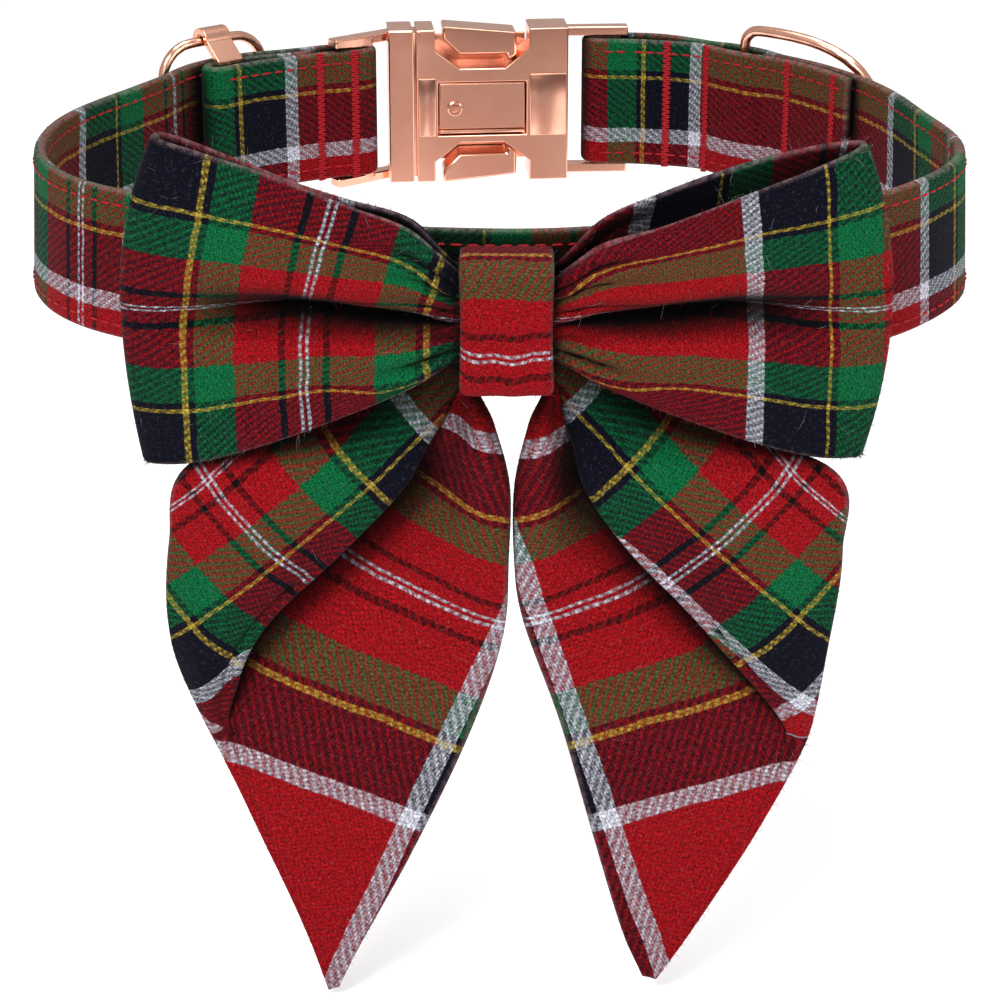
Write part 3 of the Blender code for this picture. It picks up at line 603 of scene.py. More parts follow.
def nap(
    name: str,
    cloth: Cloth,
    count: int,
    longest: float,
    material: bpy.types.Material,
    thick: float = 0.03 * MM,
) -> bpy.types.Object:
    """Short loose fibres that stand off a brushed cloth, in its own stripes.

    Args:
        name: The piece's name.
        cloth: The sheet that they grow from.
        count: How many fibres.
        longest: The longest fibre in metres.
        material: The fibres' finish.
        thick: A fibre's radius in metres.

    Returns:
        The fibres as one joined mesh.
    """
    chance = np.random.default_rng(len(name) * 7919 + count)
    rows, deep = cloth.points.shape[:2]
    at_row = chance.integers(5, rows - 5, count)
    edge = chance.random(count) < 0.35
    rims = np.where(chance.random(count) < 0.5, 3, deep - 4)
    at_deep = np.where(edge, rims, chance.integers(3, deep - 3, count))
    side = np.where(chance.random(count) < 0.8, 1.0, -1.0)
    root = cloth.points[at_row, at_deep]
    normal = cloth.normals[at_row, at_deep] * side[:, None]
    maps = cloth.maps[at_row, at_deep]
    lean = chance.normal(size=(count, 3))
    length = longest * (0.35 + 0.65 * chance.random(count) ** 2)
    vertices, faces, coords = [], [], []
    around = np.array([0, 2, 4]) * math.pi / 3
    for index in range(count):
        way = normal[index] * 0.55 + lean[index] * 0.55
        way /= np.linalg.norm(way)
        curl = np.cross(way, lean[(index + 1) % count])
        curl /= np.linalg.norm(curl)
        other = np.cross(way, curl)
        start = root[index] + normal[index] * (cloth.wall / 2 - 0.06 * MM)
        base = len(vertices)
        for step, width in ((0.0, 1.0), (0.5, 0.8)):
            middle = start + way * length[index] * step + curl * length[index] * 0.22 * step**2
            for angle in around:
                vertices.append(middle + (curl * math.cos(angle) + other * math.sin(angle)) * thick * width)
        vertices.append(start + way * length[index] * 0.9 + curl * length[index] * 0.3)
        coords += [maps[index]] * 7
        faces.append((base, base + 2, base + 1))
        for k in range(3):
            n = (k + 1) % 3
            faces.append((base + k, base + n, base + 3 + n))
            faces.append((base + k, base + 3 + n, base + 3 + k))
            faces.append((base + 3 + k, base + 3 + n, base + 6))
    return new_mesh(
        name, np.array(vertices), np.array(faces), np.array(coords), np.full(len(vertices), 9.0), material
    )


@dataclass
class PaintedFoldShade:
    """How open each point of the cloth lies, from rays cast off its surface: the measure behind the flannel's
    painted fold shade.
    """

    reach: float = 45 * MM
    start: float = 0.35 * MM
    rays: int = 20

    def measure(self, cloths: Sequence[bpy.types.Object], others: Sequence[bpy.types.Object]) -> None:
        """Writes the "open" attribute of each cloth: 1 in the open, towards 0 inside a fold, where the
        flannel paints its shade.

        Args:
            cloths: The cloth pieces.
            others: More pieces that cover them.
        """
        vertices, faces = [], []
        for piece in (*cloths, *others):
            base = len(vertices)
            vertices += [vertex.co.copy() for vertex in piece.data.vertices]
            faces += [[corner + base for corner in face.vertices] for face in piece.data.polygons]
        tree = BVHTree.FromPolygons(vertices, faces)
        golden = math.pi * (3 - math.sqrt(5))
        ways = []
        for index in range(self.rays):
            flat = math.sqrt((index + 0.5) / self.rays)
            angle = golden * index
            ways.append(Vector((flat * math.cos(angle), flat * math.sin(angle), math.sqrt(1 - flat * flat))))
        for piece in cloths:
            values = np.empty(len(piece.data.vertices), dtype=np.float32)
            for index, vertex in enumerate(piece.data.vertices):
                turn = vertex.normal.to_track_quat("Z", "Y").to_matrix()
                start = vertex.co + vertex.normal * self.start
                seen = 0.0
                for way in ways:
                    distance = tree.ray_cast(start, turn @ way, self.reach)[3]
                    seen += 1.0 if distance is None else (distance / self.reach) ** 0.8
                values[index] = seen / self.rays
            piece.data.attributes["open"].data.foreach_set("value", values)
            LOG.info("%s has its fold depth", piece.name)


@dataclass
class Stitches:
    """Thread bits, modelled once as a small rounded bar and copied along a seam."""

    length: float
    width: float
    height: float

    def model(self) -> tuple[np.ndarray, np.ndarray]:
        """Models one stitch.

        Returns:
            Its vertices round the origin, length along X, and its faces.
        """
        bpy.ops.object.select_all(action="DESELECT")
        bpy.ops.mesh.primitive_uv_sphere_add(segments=8, ring_count=6, radius=0.5, location=(0, 0, 0))
        bead = bpy.context.object
        with editing():
            bpy.ops.transform.rotate(value=math.pi / 2, orient_axis="Y", center_override=(0, 0, 0))
            size = (self.length, self.width, self.height)
            bpy.ops.transform.resize(value=size, center_override=(0, 0, 0))
            bpy.ops.mesh.quads_convert_to_tris()
        vertices = np.array([vertex.co[:] for vertex in bead.data.vertices])
        faces = np.array([face.vertices[:] for face in bead.data.polygons])
        # A fuller bar than an egg: the ends are blunted
        ends = vertices[:, 0] * 2 / self.length
        vertices[:, 0] = np.sign(ends) * self.length / 2 * np.abs(ends) ** 0.7
        bpy.data.objects.remove(bead, do_unlink=True)
        return vertices, faces

    def sew(
        self, name: str, places: list[tuple[Vector, Vector, Vector]], material: bpy.types.Material
    ) -> bpy.types.Object:
        """Copies the stitch to its places.

        Args:
            name: The piece's name.
            places: Middle, direction along the stitch, and direction off the cloth.
            material: The thread's finish.

        Returns:
            All the stitches as one joined mesh.
        """
        model, corners = self.model()
        vertices, faces = [], []
        for index, (middle, along, off) in enumerate(places):
            side = off.cross(along).normalized()
            turn = np.array([along.normalized(), side, off.normalized()])
            vertices.append(model @ turn + np.array(middle))
            faces.append(corners + index * len(model))
        vertices = np.concatenate(vertices)
        return new_mesh(
            name,
            vertices,
            np.concatenate(faces),
            np.zeros((len(vertices), 2)),
            np.full(len(vertices), 9.0),
            material,
        )


# Sizes that the strap shares with the fittings, as in the CAD part
STRAP_WIDTH = 25 * MM
STRAP_THICK = 2.2 * MM
CLEARANCE = 0.35 * MM
LOOP_HALF_WIDTH = 78.5 * MM
LOOP_HALF_DEPTH = 65 * MM
LAYER = STRAP_THICK + CLEARANCE
LOOP_PLAN = (
    (0.459, 0.955),
    (0.682, 0.735),
    (0.841, 0.462),
    (0.949, 0.123),
    (0.994, -0.185),
    (0.943, -0.431),
    (0.777, -0.677),
    (0.459, -0.885),
    (0.000, -1.000),
    (-0.459, -0.885),
    (-0.777, -0.677),
    (-0.957, -0.461),
    (-1.023, -0.185),
    (-0.985, 0.123),
    (-0.868, 0.385),
    (-0.707, 0.635),
    (-0.548, 0.775),
)


@dataclass
class Loop:
    """The neck loop in plan: a closed smooth curve read by the length along it, clockwise from the buckle."""

    buckle: Point = (-5 * MM, 64 * MM, 0.0)
    turn: float = math.radians(5)
    plug_bar: tuple[float, float] = (-26.2 * MM, -5.0 * MM)
    socket_bar: tuple[float, float] = (25.9 * MM, -0.3 * MM)
    steps: int = 40

    def __post_init__(self) -> None:
        """Lays the curve's points and their lengths."""
        plug, socket = self.to_world(*self.plug_bar), self.to_world(*self.socket_bar)
        middle = self.to_world(0, (self.plug_bar[1] + self.socket_bar[1]) / 2)
        table = [(x * LOOP_HALF_WIDTH, y * LOOP_HALF_DEPTH) for x, y in LOOP_PLAN]
        knots = np.array([middle, socket, *table, plug])
        points = []
        for index in range(len(knots)):
            before, start, end, after = (knots[(index + k) % len(knots)] for k in (-1, 0, 1, 2))
            for part in np.arange(self.steps) / self.steps:
                points.append(
                    start
                    + 0.5 * part * (end - before)
                    + part**2 * (before - 2.5 * start + 2 * end - 0.5 * after)
                    + part**3 * (-0.5 * before + 1.5 * start - 1.5 * end + 0.5 * after)
                )
        self.points = np.array(points + points[:1])
        self.lengths = np.concatenate([[0], np.cumsum(np.hypot(*np.diff(self.points, axis=0).T))])
        self.total = self.lengths[-1]
        self.socket_length = self.lengths[self.steps]
        self.plug_length = self.lengths[(len(knots) - 1) * self.steps]

    def to_world(self, u: float, v: float) -> tuple[float, float]:
        """A place in the buckle's frame, in plan."""
        cos, sin = math.cos(self.turn), math.sin(self.turn)
        return (self.buckle[0] + u * cos - v * sin, self.buckle[1] + u * sin + v * cos)

    def base(self, along: float) -> Vector:
        """The point of the curve at a length."""
        along = along % self.total
        return Vector([float(np.interp(along, self.lengths, self.points[:, axis])) for axis in (0, 1)])

    def ahead(self, along: float) -> Vector:
        """The direction of the curve at a length."""
        return (self.base(along + 1.5 * MM) - self.base(along - 1.5 * MM)).normalized()

    def out(self, along: float) -> Vector:
        """The direction away from the neck at a length."""
        ahead = self.ahead(along)
        return Vector((-ahead.y, ahead.x))

    def at(self, along: float, offset: float) -> Vector:
        """The point this far outside the curve."""
        return self.base(along) + self.out(along) * offset

    def length_at(self, x: float, back: bool) -> float:
        """The length at which one half of the loop has this x.

        Args:
            x: The place across.
            back: Whether the back half is meant.

        Returns:
            The length along the loop.
        """
        half = [i for i, p in enumerate(self.points) if (p[1] > 24.5 * MM if back else p[1] < 0)]
        return float(self.lengths[min(half, key=lambda i: abs(self.points[i][0] - x))])


@dataclass
class Strap:
    """The collar's strap: one folded ribbon of flannel, its topstitching and its bar tacks."""

    loop: Loop
    step: float = 1.3 * MM
    fold_half: float = 2.6 * MM
    fold_centre: float = 2.2 * MM
    blend: float = 14 * MM
    ring_x: float = 46 * MM
    slider_x: float = -52.5 * MM
    plate_half: float = 2.8 * MM
    plate_thick: float = 1.2 * MM
    pocket_flat: float = 2.25 * MM
    topstitch_inset: float = 2.4 * MM
    topstitch_pitch: float = 2.6 * MM
    tacks: tuple[tuple[str, tuple[float, ...]], ...] = (
        ("inner_right", (31.4, 39.8, 54.0, 61.6)),
        ("inner_left", (-35.8, -26.9)),
    )
    tack_threads: int = 52
    lining_step: float = -17.0
    path: list[tuple[Vector, str, float]] = field(default_factory=list)
    stripes: list[float] = field(default_factory=list)

    def lay_path(self) -> None:
        """Lays the ribbon's middle line, with the run that each point belongs to."""
        loop = self.loop
        ring = loop.length_at(self.ring_x, True)
        slider = loop.length_at(self.slider_x, True)
        ring_push = 1.1 * MM + CLEARANCE + STRAP_THICK / 2 - LAYER / 2
        plate_push = self.plate_thick + CLEARANCE
        blend_right = loop.socket_length + self.blend / 2
        plate_flat = self.plate_half + self.pocket_flat
        curl = (LAYER + self.plate_thick + CLEARANCE) / 2
        right_end = loop.socket_length + 58 * MM
        right_turn = loop.socket_length - self.fold_centre
        left_turn = loop.plug_length + self.fold_centre
        slider_turn = slider - self.plate_half
        sewn_end = loop.plug_length - 3.2 * MM - 4 * MM

        def run(name: str, start: float, stop: float, offset: Callable[[float], float]) -> None:
            """Adds a run of the ribbon between two lengths."""
            count = max(int(abs(stop - start) / self.step), 2)
            for index in range(count + 1):
                along = start + (stop - start) * index / count
                self.path.append((loop.at(along, offset(along)), name, along))

        def turn(centre: float, way: float, middle: float, radius: float, first: float) -> None:
            """Adds a half turn round a bar."""
            for index in range(1, 10):
                angle = math.pi * index / 10
                side = first * radius * math.cos(angle)
                point = loop.at(centre + way * radius * math.sin(angle), middle + side)
                self.path.append((point, "turn", centre))

        def right_spread(along: float) -> float:
            """Half the gap between the layers right of the buckle."""
            apart = 1 - ease((along - blend_right) / self.blend)
            return LAYER / 2 + apart * (self.fold_half - LAYER / 2)

        def inner_right(along: float) -> float:
            """The inner layer's offset right of the buckle."""
            return -right_spread(along) - ring_push * bump_at(along, ring, 9 * MM, self.pocket_flat)

        def outer(along: float) -> float:
            """The outer layer's offset all round."""
            right = right_spread(along) * (1 - ease((along - right_end) / (2 * self.blend)))
            right += ring_push * bump_at(along, ring, 9 * MM, self.pocket_flat)
            left = LAYER * ease((along - slider) / (2 * self.blend) + 1)
            return right + left + plate_push * bump_at(along, slider, 18 * MM, plate_flat)

        run("inner_right", right_end, right_turn, inner_right)
        turn(right_turn, -1, 0.0, self.fold_half, -1)
        run("outer", right_turn, left_turn, outer)
        turn(left_turn, 1, 0.0, self.fold_half, 1)
        run("inner_left", left_turn, slider_turn, lambda along: -LAYER)
        turn(slider_turn, -1, curl - LAYER, curl, -1)
        run(
            "middle_left",
            slider_turn,
            sewn_end,
            lambda along: plate_push * bump_at(along, slider, 18 * MM, plate_flat),
        )
        self.stripes = [self.stripe_along(name, along) for _, name, along in self.path]
        self.carry_stripes()

    def carry_stripes(self) -> None:
        """Carries the stripes round the half turns, each from the inner layer that it belongs to."""
        turns = [index for index, (_, name, _) in enumerate(self.path) if name == "turn"]
        ends = {index for index in turns if index + 1 not in turns}
        second = [index for index in turns if sum(end < index for end in ends) == 1]
        onward = [(index, -1) for index in turns if index not in second]
        for index, back in onward + [(index, 1) for index in reversed(second)]:
            step = (self.path[index][0] - self.path[index + back][0]).length / MM
            way = math.copysign(1, self.stripes[index + back] - self.stripes[index + 2 * back])
            self.stripes[index] = self.stripes[index + back] + way * step

    def stripe_along(self, name: str, along: float) -> float:
        """The cloth's stripe place along the strap.

        Args:
            name: The run of the ribbon.
            along: The length along the loop.

        Returns:
            Millimetres in the tartan's repeat.
        """
        loop = self.loop
        if name == "inner_right":
            past = (along - loop.length_at(37.5 * MM, True)) / MM
            return WHITE_BAND + past * (0.84 if past > 0 else 1.0)
        if name in ("inner_left", "turn", "middle_left"):
            anchor = loop.length_at(-42.3 * MM, True)
            return WHITE_BAND + (along - anchor) / MM
        right = loop.length_at(68.6 * MM, False)
        left = loop.length_at(-69.5 * MM, False)
        rest = (left - right) / MM
        repeats = REPEAT * round((rest + WHITE_BAND) / REPEAT)
        marks = [right - 0.4, right, right + 0.02, left - 0.02, left, left + 0.4]
        values = [WHITE_BAND - 400, WHITE_BAND, 50, repeats - 20, repeats, repeats + 400]
        return float(np.interp(along, marks, values))

    def leaning(self, point: Vector, height: float) -> Vector:
        """How far the front of the strap leans out at a height."""
        lean = ease((35 * MM - point.y) / (30 * MM)) * 0.7 * MM * -height / (STRAP_WIDTH / 2)
        return point.normalized() * lean

    def place(self, along: float, across: float) -> Point:
        """A point of the ribbon's middle surface."""
        spot = along * (len(self.path) - 1)
        low = min(int(spot), len(self.path) - 2)
        point = self.path[low][0].lerp(self.path[low + 1][0], spot - low)
        height = (2 * across - 1) * STRAP_WIDTH / 2
        out = self.leaning(point, height)
        wave = 0.12 * MM * math.sin(spot * 0.21) * math.sin(spot * 0.083 + 1)
        return (point.x + out.x, point.y + out.y, height + wave)

    def weave(self, along: float, across: float, point: Point) -> tuple[float, float]:
        """The cloth's threads at a point."""
        spot = min(int(round(along * (len(self.path) - 1))), len(self.path) - 1)
        return (23.65 - (2 * across - 1) * 12.5, -self.stripes[spot])

    def topstitch_places(self) -> list[tuple[Vector, Vector, Vector]]:
        """The running stitches along both edges, on both faces.

        Returns:
            The stitches' places for the sewing.
        """
        places = []
        for name, side in (("outer", 1), ("outer", -1), ("inner_right", -1), ("inner_left", -1)):
            spots = [(point, along) for point, run, along in self.path if run == name]
            walked = 0.0
            for (start, _), (end, _) in zip(spots, spots[1:]):
                walked += (end - start).length
                if walked < self.topstitch_pitch:
                    continue
                walked -= self.topstitch_pitch
                ahead = (end - start).normalized()
                out = Vector((-ahead.y, ahead.x)) * side
                if name != "outer":
                    out = -Vector((-ahead.y, ahead.x))
                    out = out if out.dot(start) < 0 else -out
                for edge in (-1, 1):
                    height = edge * (STRAP_WIDTH / 2 - self.topstitch_inset)
                    shift = self.leaning(start, height)
                    middle = Vector((start.x + shift.x, start.y + shift.y, height))
                    off = Vector((out.x, out.y, 0))
                    middle += off * (STRAP_THICK / 2 + 0.02 * MM)
                    places.append((middle, Vector((ahead.x, ahead.y, 0)), off))
        return places

    def tack_places(self) -> list[tuple[Vector, Vector, Vector]]:
        """The bar tacks through the strap's layers, a column of short threads each.

        Returns:
            The threads' places for the sewing.
        """
        places = []
        for name, columns in self.tacks:
            spots = [(point, along) for point, run, along in self.path if run == name]
            for x in columns:
                index = min(range(1, len(spots) - 1), key=lambda i: abs(spots[i][0].x - x * MM))
                point = spots[index][0]
                ahead = (spots[index + 1][0] - spots[index - 1][0]).normalized()
                inward = Vector((-ahead.y, ahead.x))
                inward = inward if inward.dot(point) < 0 else -inward
                for step in range(self.tack_threads):
                    share = step / (self.tack_threads - 1)
                    height = (share * 2 - 1) * (STRAP_WIDTH / 2 - 0.2 * MM)
                    slant = 0.25 * MM * (1 if step % 2 else -1)
                    middle = Vector((point.x, point.y, height))
                    off = Vector((inward.x, inward.y, 0))
                    middle += off * (STRAP_THICK / 2 + 0.08 * MM)
                    along = Vector((ahead.x, ahead.y, slant / MM * 0.5))
                    places.append((middle, along, off))
        return places

    def build(self, cloth: bpy.types.Material, thread: bpy.types.Material) -> bpy.types.Object:
        """Builds the ribbon and its sewing, and puts them on the collar.

        Args:
            cloth: The flannel.
            thread: The sewing thread.

        Returns:
            The ribbon.
        """
        self.lay_path()
        steps = [(b[0] - a[0]).length for a, b in zip(self.path, self.path[1:])]
        middle = self.loop.length_at(0.0, False)
        # The lining's stripes lie elsewhere on the left half
        shift = [self.lining_step if run == "outer" and at > middle else 0.0 for _, run, at in self.path]
        ribbon = Cloth(
            "strap_flannel",
            self.place,
            self.weave,
            STRAP_THICK - 0.1 * MM,
            sum(steps),
            STRAP_WIDTH,
            len(self.path) - 1,
            20,
            lining_shift=shift,
        )
        piece = ribbon.build(cloth)
        finish_sheet(piece, ribbon, "collar_strap")
        top, tack = Stitches(1.9 * MM, 0.42 * MM, 0.34 * MM), Stitches(1.7 * MM, 0.5 * MM, 0.4 * MM)
        tops = top.sew("strap_topstitch", self.topstitch_places(), thread)
        tacks = tack.sew("strap_bar_tacks", self.tack_places(), thread)
        fuzz = nap("strap_nap", ribbon, 4500, 1.5 * MM, cloth)
        for extra in (tops, tacks, fuzz):
            settle(extra, "collar")
        return piece


def settle(piece: bpy.types.Object, body: str) -> None:
    """Puts a piece on its body."""
    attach(piece, body)
    LOG.info("%s rides on %s", piece.name, body)


def finish_sheet(
    piece: bpy.types.Object, cloth: Cloth, node: str
) -> None:
    """Puts a sheet on the collar in place of its plain solid.

    Args:
        piece: The sheet.
        cloth: What it was made from.
        node: The solid that it replaces.
    """
    settle(piece, "collar")
    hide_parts(node)
    cloth.flat_size()


def fluff(word: str, cloth: Cloth, material: bpy.types.Material) -> None:
    """Puts the nap and a little lint on a large sheet.

    Args:
        word: The start of the pieces' names.
        cloth: The sheet.
        material: The flannel.
    """
    settle(nap(f"{word}_nap", cloth, 8000, 1.7 * MM, material), "collar")
    lint = CottonLint().build()
    settle(nap(f"{word}_lint", cloth, 260, 5.0 * MM, lint, 0.022 * MM), "collar")


@dataclass
class Bow:
    """The bow: a flattened ring of flannel, open above and below, pinched in the middle."""

    base_y: float
    half_length: float = 58.6 * MM
    half_height: float = 26.5 * MM
    depth: float = 6.6 * MM
    wall: float = 1.6 * MM
    bend: float = 3.0 * MM
    valley: float = 9.6 * MM
    front_drop: float = 2.2 * MM
    back_drop: float = 3.0 * MM
    cloth_half: float = 28.2
    sections: tuple[tuple[float, ...], ...] = (
        (0.00, 0.270, 0.079, 0.36, 0.00),
        (0.13, 0.280, 0.085, 0.36, 0.10),
        (0.25, 0.475, 0.150, 0.80, 0.78),
        (0.40, 0.615, 0.150, 1.00, 1.00),
        (0.65, 0.820, 0.136, 1.06, 0.86),
        (0.85, 0.940, 0.120, 1.05, 0.42),
        (1.00, 0.990, 0.120, 0.95, 0.00),
    )
    yellow_line: tuple[tuple[float, ...], ...] = (
        (0.0, 0.45, 0.95),
        (0.20, 0.52, 0.92),
        (0.33, 0.60, 0.86),
        (0.50, 0.64, 0.67),
        (1.0, 0.64, 0.64),
    )

    def place(self, along: float, across: float) -> Point:
        """A point of the bow's middle surface."""
        angle = 2 * math.pi * along
        reach = -math.cos(angle)
        share = abs(reach)
        front = -1 if along < 0.5 else 1
        up = 2 * across - 1
        height, rise, depth, valley = (table_value(self.sections, c, share) for c in (1, 2, 3, 4))
        closing = abs(math.sin(angle)) ** 0.6
        y = front * depth * self.depth * closing * (1 - 0.18 * up**4)
        if front < 0:
            sunk = up + 0.2 * (1 - ease((share - 0.13) / 0.5))
            y += self.valley * valley * math.exp(-((sunk / 0.15) ** 2)) * closing
        near = (1 - ease(share / 0.55)) * ease((share - 0.13) / 0.1)
        y += 0.75 * MM * math.cos(3 * math.pi * up) * near
        # Fine pleats fan out of the knot and die away along the wing
        fan = (1 - ease((share - 0.12) / 0.42)) * ease((share - 0.115) / 0.05)
        y += front * 0.55 * MM * fan * math.cos(7.4 * math.pi * up + 0.8 * reach)
        y += 0.35 * MM * math.sin(5.2 * share + 2.3 * up) * ease(share / 0.3) * (1 - up**2)
        y += self.bend * share**2
        right = 1 - 0.045 * ease(reach * 3)
        drop = 0.0
        if front < 0 and reach > 0 and up > 0:
            drop = self.front_drop * math.sin(math.pi * min(share * 1.02, 1)) ** 0.8 * up**2
        if front > 0 and reach < 0 and up > 0:
            drop = self.back_drop * math.sin(math.pi * min(share * 1.02, 1)) * ease(share / 0.6) * up**2
        z = (rise + up * height) * self.half_height * right - drop
        if reach < 0:
            corner = 0.100 if up > 0 else 0.042
        else:
            corner = 0.084 if up > 0 else 0.062
        x = reach * self.half_length * (1 - corner * up**2 * share**2)
        return (x, self.base_y + y, z)

    def weave(self, along: float, across: float, point: Point) -> tuple[float, float]:
        """The cloth's threads at a point."""
        angle = 2 * math.pi * along
        share = abs(math.cos(angle))
        up = 2 * across - 1
        line = table_value(self.yellow_line, 1 if up > 0 else 2, share)
        if abs(up) < line:
            height = YELLOW_LINE * abs(up) / line
        else:
            height = YELLOW_LINE + (self.cloth_half - YELLOW_LINE) * (abs(up) - line) / (1 - line)
        x = point[0] / MM
        # The threads fan a little towards the knot above the crease
        shift = 30.8 - 1.8 * ease((x + 7) / 14)
        shift += max(up, 0.0) * (2.0 if x > 0 else -5.0) * ease(share / 0.4)
        if along >= 0.5:
            x = math.copysign(2 * self.half_length / MM - abs(x), x)
        return (math.copysign(height, up), -(x + shift))

    def build(self, cloth: bpy.types.Material) -> bpy.types.Object:
        """Builds the bow and its nap.

        Args:
            cloth: The flannel.

        Returns:
            The sheet.
        """
        ring = Cloth("bow_flannel", self.place, self.weave, self.wall, 0.25, 0.045, 300, 56, ring=True)
        piece = ring.build(cloth)
        finish_sheet(piece, ring, "bow_loop")
        fluff("bow", ring, cloth)
        return piece


@dataclass
class Knot:
    """The flat band of flannel that grips the bow and the tails."""

    front_y: float
    back_y: float
    width: float = 14.4 * MM
    height: float = 22.6 * MM
    rise: float = 0.8 * MM
    wall: float = 1.8 * MM
    corner: float = 3.6 * MM

    def place(self, along: float, across: float) -> Point:
        """A point of the band's middle surface."""
        half_deep = (self.back_y - self.front_y) / 2 - self.wall / 2
        half_high = self.height / 2 - self.wall / 2
        corner = self.corner - self.wall / 2
        turn = math.pi / 2 * corner
        lengths = [2 * (half_high - corner), turn, 2 * (half_deep - corner), turn] * 2
        spot = along * sum(lengths)
        y, z = -half_deep, half_high - corner
        direction = -math.pi / 2
        for index, length in enumerate(lengths):
            part = min(spot, length)
            if index % 2 == 0:
                y += part * math.cos(direction)
                z += part * math.sin(direction)
            else:
                centre_y = y + corner * math.cos(direction + math.pi / 2)
                centre_z = z + corner * math.sin(direction + math.pi / 2)
                direction += part / corner
                y = centre_y + corner * math.sin(direction)
                z = centre_z - corner * math.cos(direction)
            spot -= part
            if spot <= 0:
                break
        side = 2 * across - 1
        waist = 1 - 0.035 * math.cos(math.pi * z / self.height) ** 2
        x = side * self.width / 2 * waist
        crown = 0.35 * MM * (1 - side**2)
        if y < 0:
            y -= crown - 0.45 * MM * side**6
            y -= 0.16 * MM * math.sin(2.5 * math.pi * side + 0.4)
        return (x, (self.front_y + self.back_y) / 2 + y, z + self.rise)

    def weave(self, along: float, across: float, point: Point) -> tuple[float, float]:
        """The cloth's threads at a point."""
        depth = abs(point[1] - self.front_y) / MM
        sign = 1 if point[2] > self.rise else -1
        return (40 + (2 * across - 1) * 7.2, -(point[2] / MM + 3.9 + sign * depth))

    def build(self, cloth: bpy.types.Material) -> bpy.types.Object:
        """Builds the knot and its nap.

        Args:
            cloth: The flannel.

        Returns:
            The sheet.
        """
        around = 2 * (self.height + self.back_y - self.front_y) - 8 * self.corner + 2 * math.pi * self.corner
        band = Cloth(
            "knot_flannel", self.place, self.weave, self.wall, around, self.width, 120, 26, ring=True
        )
        piece = band.build(cloth)
        finish_sheet(piece, band, "bow_knot")
        settle(nap("knot_nap", band, 1000, 1.4 * MM, cloth), "collar")
        return piece


@dataclass(frozen=True)
class TailWeave:
    """Where a tail's threads lie, from its stripe crossings: millimetres across and up."""

    panel: tuple[float, float]
    panel_turn: float
    stretch: float
    squeeze: float
    flap: tuple[float, float]
    flap_turn: float
    flap_stretch: float
    widen: float = 1.14

    def on_panel(self, x: float, z: float) -> tuple[float, float]:
        """Threads on the main panel."""
        cos, sin = math.cos(self.panel_turn), math.sin(self.panel_turn)
        side = math.copysign(1, self.panel[0])
        dx, dz = (x - self.panel[0]) * side, z - self.panel[1]
        out = dx * cos + dz * sin
        down = dx * sin - dz * cos
        return (WHITE_BAND + out / self.widen, down / (self.stretch if down > 0 else self.squeeze))

    def on_flap(self, x: float, z: float) -> tuple[float, float]:
        """Threads on the outer fold."""
        cos, sin = math.cos(self.flap_turn), math.sin(self.flap_turn)
        side = math.copysign(1, self.flap[0])
        dx, dz = (x - self.flap[0]) * side, z - self.flap[1]
        along = dx * cos + dz * sin
        into = -dx * sin + dz * cos
        return (-into / self.flap_stretch, along)


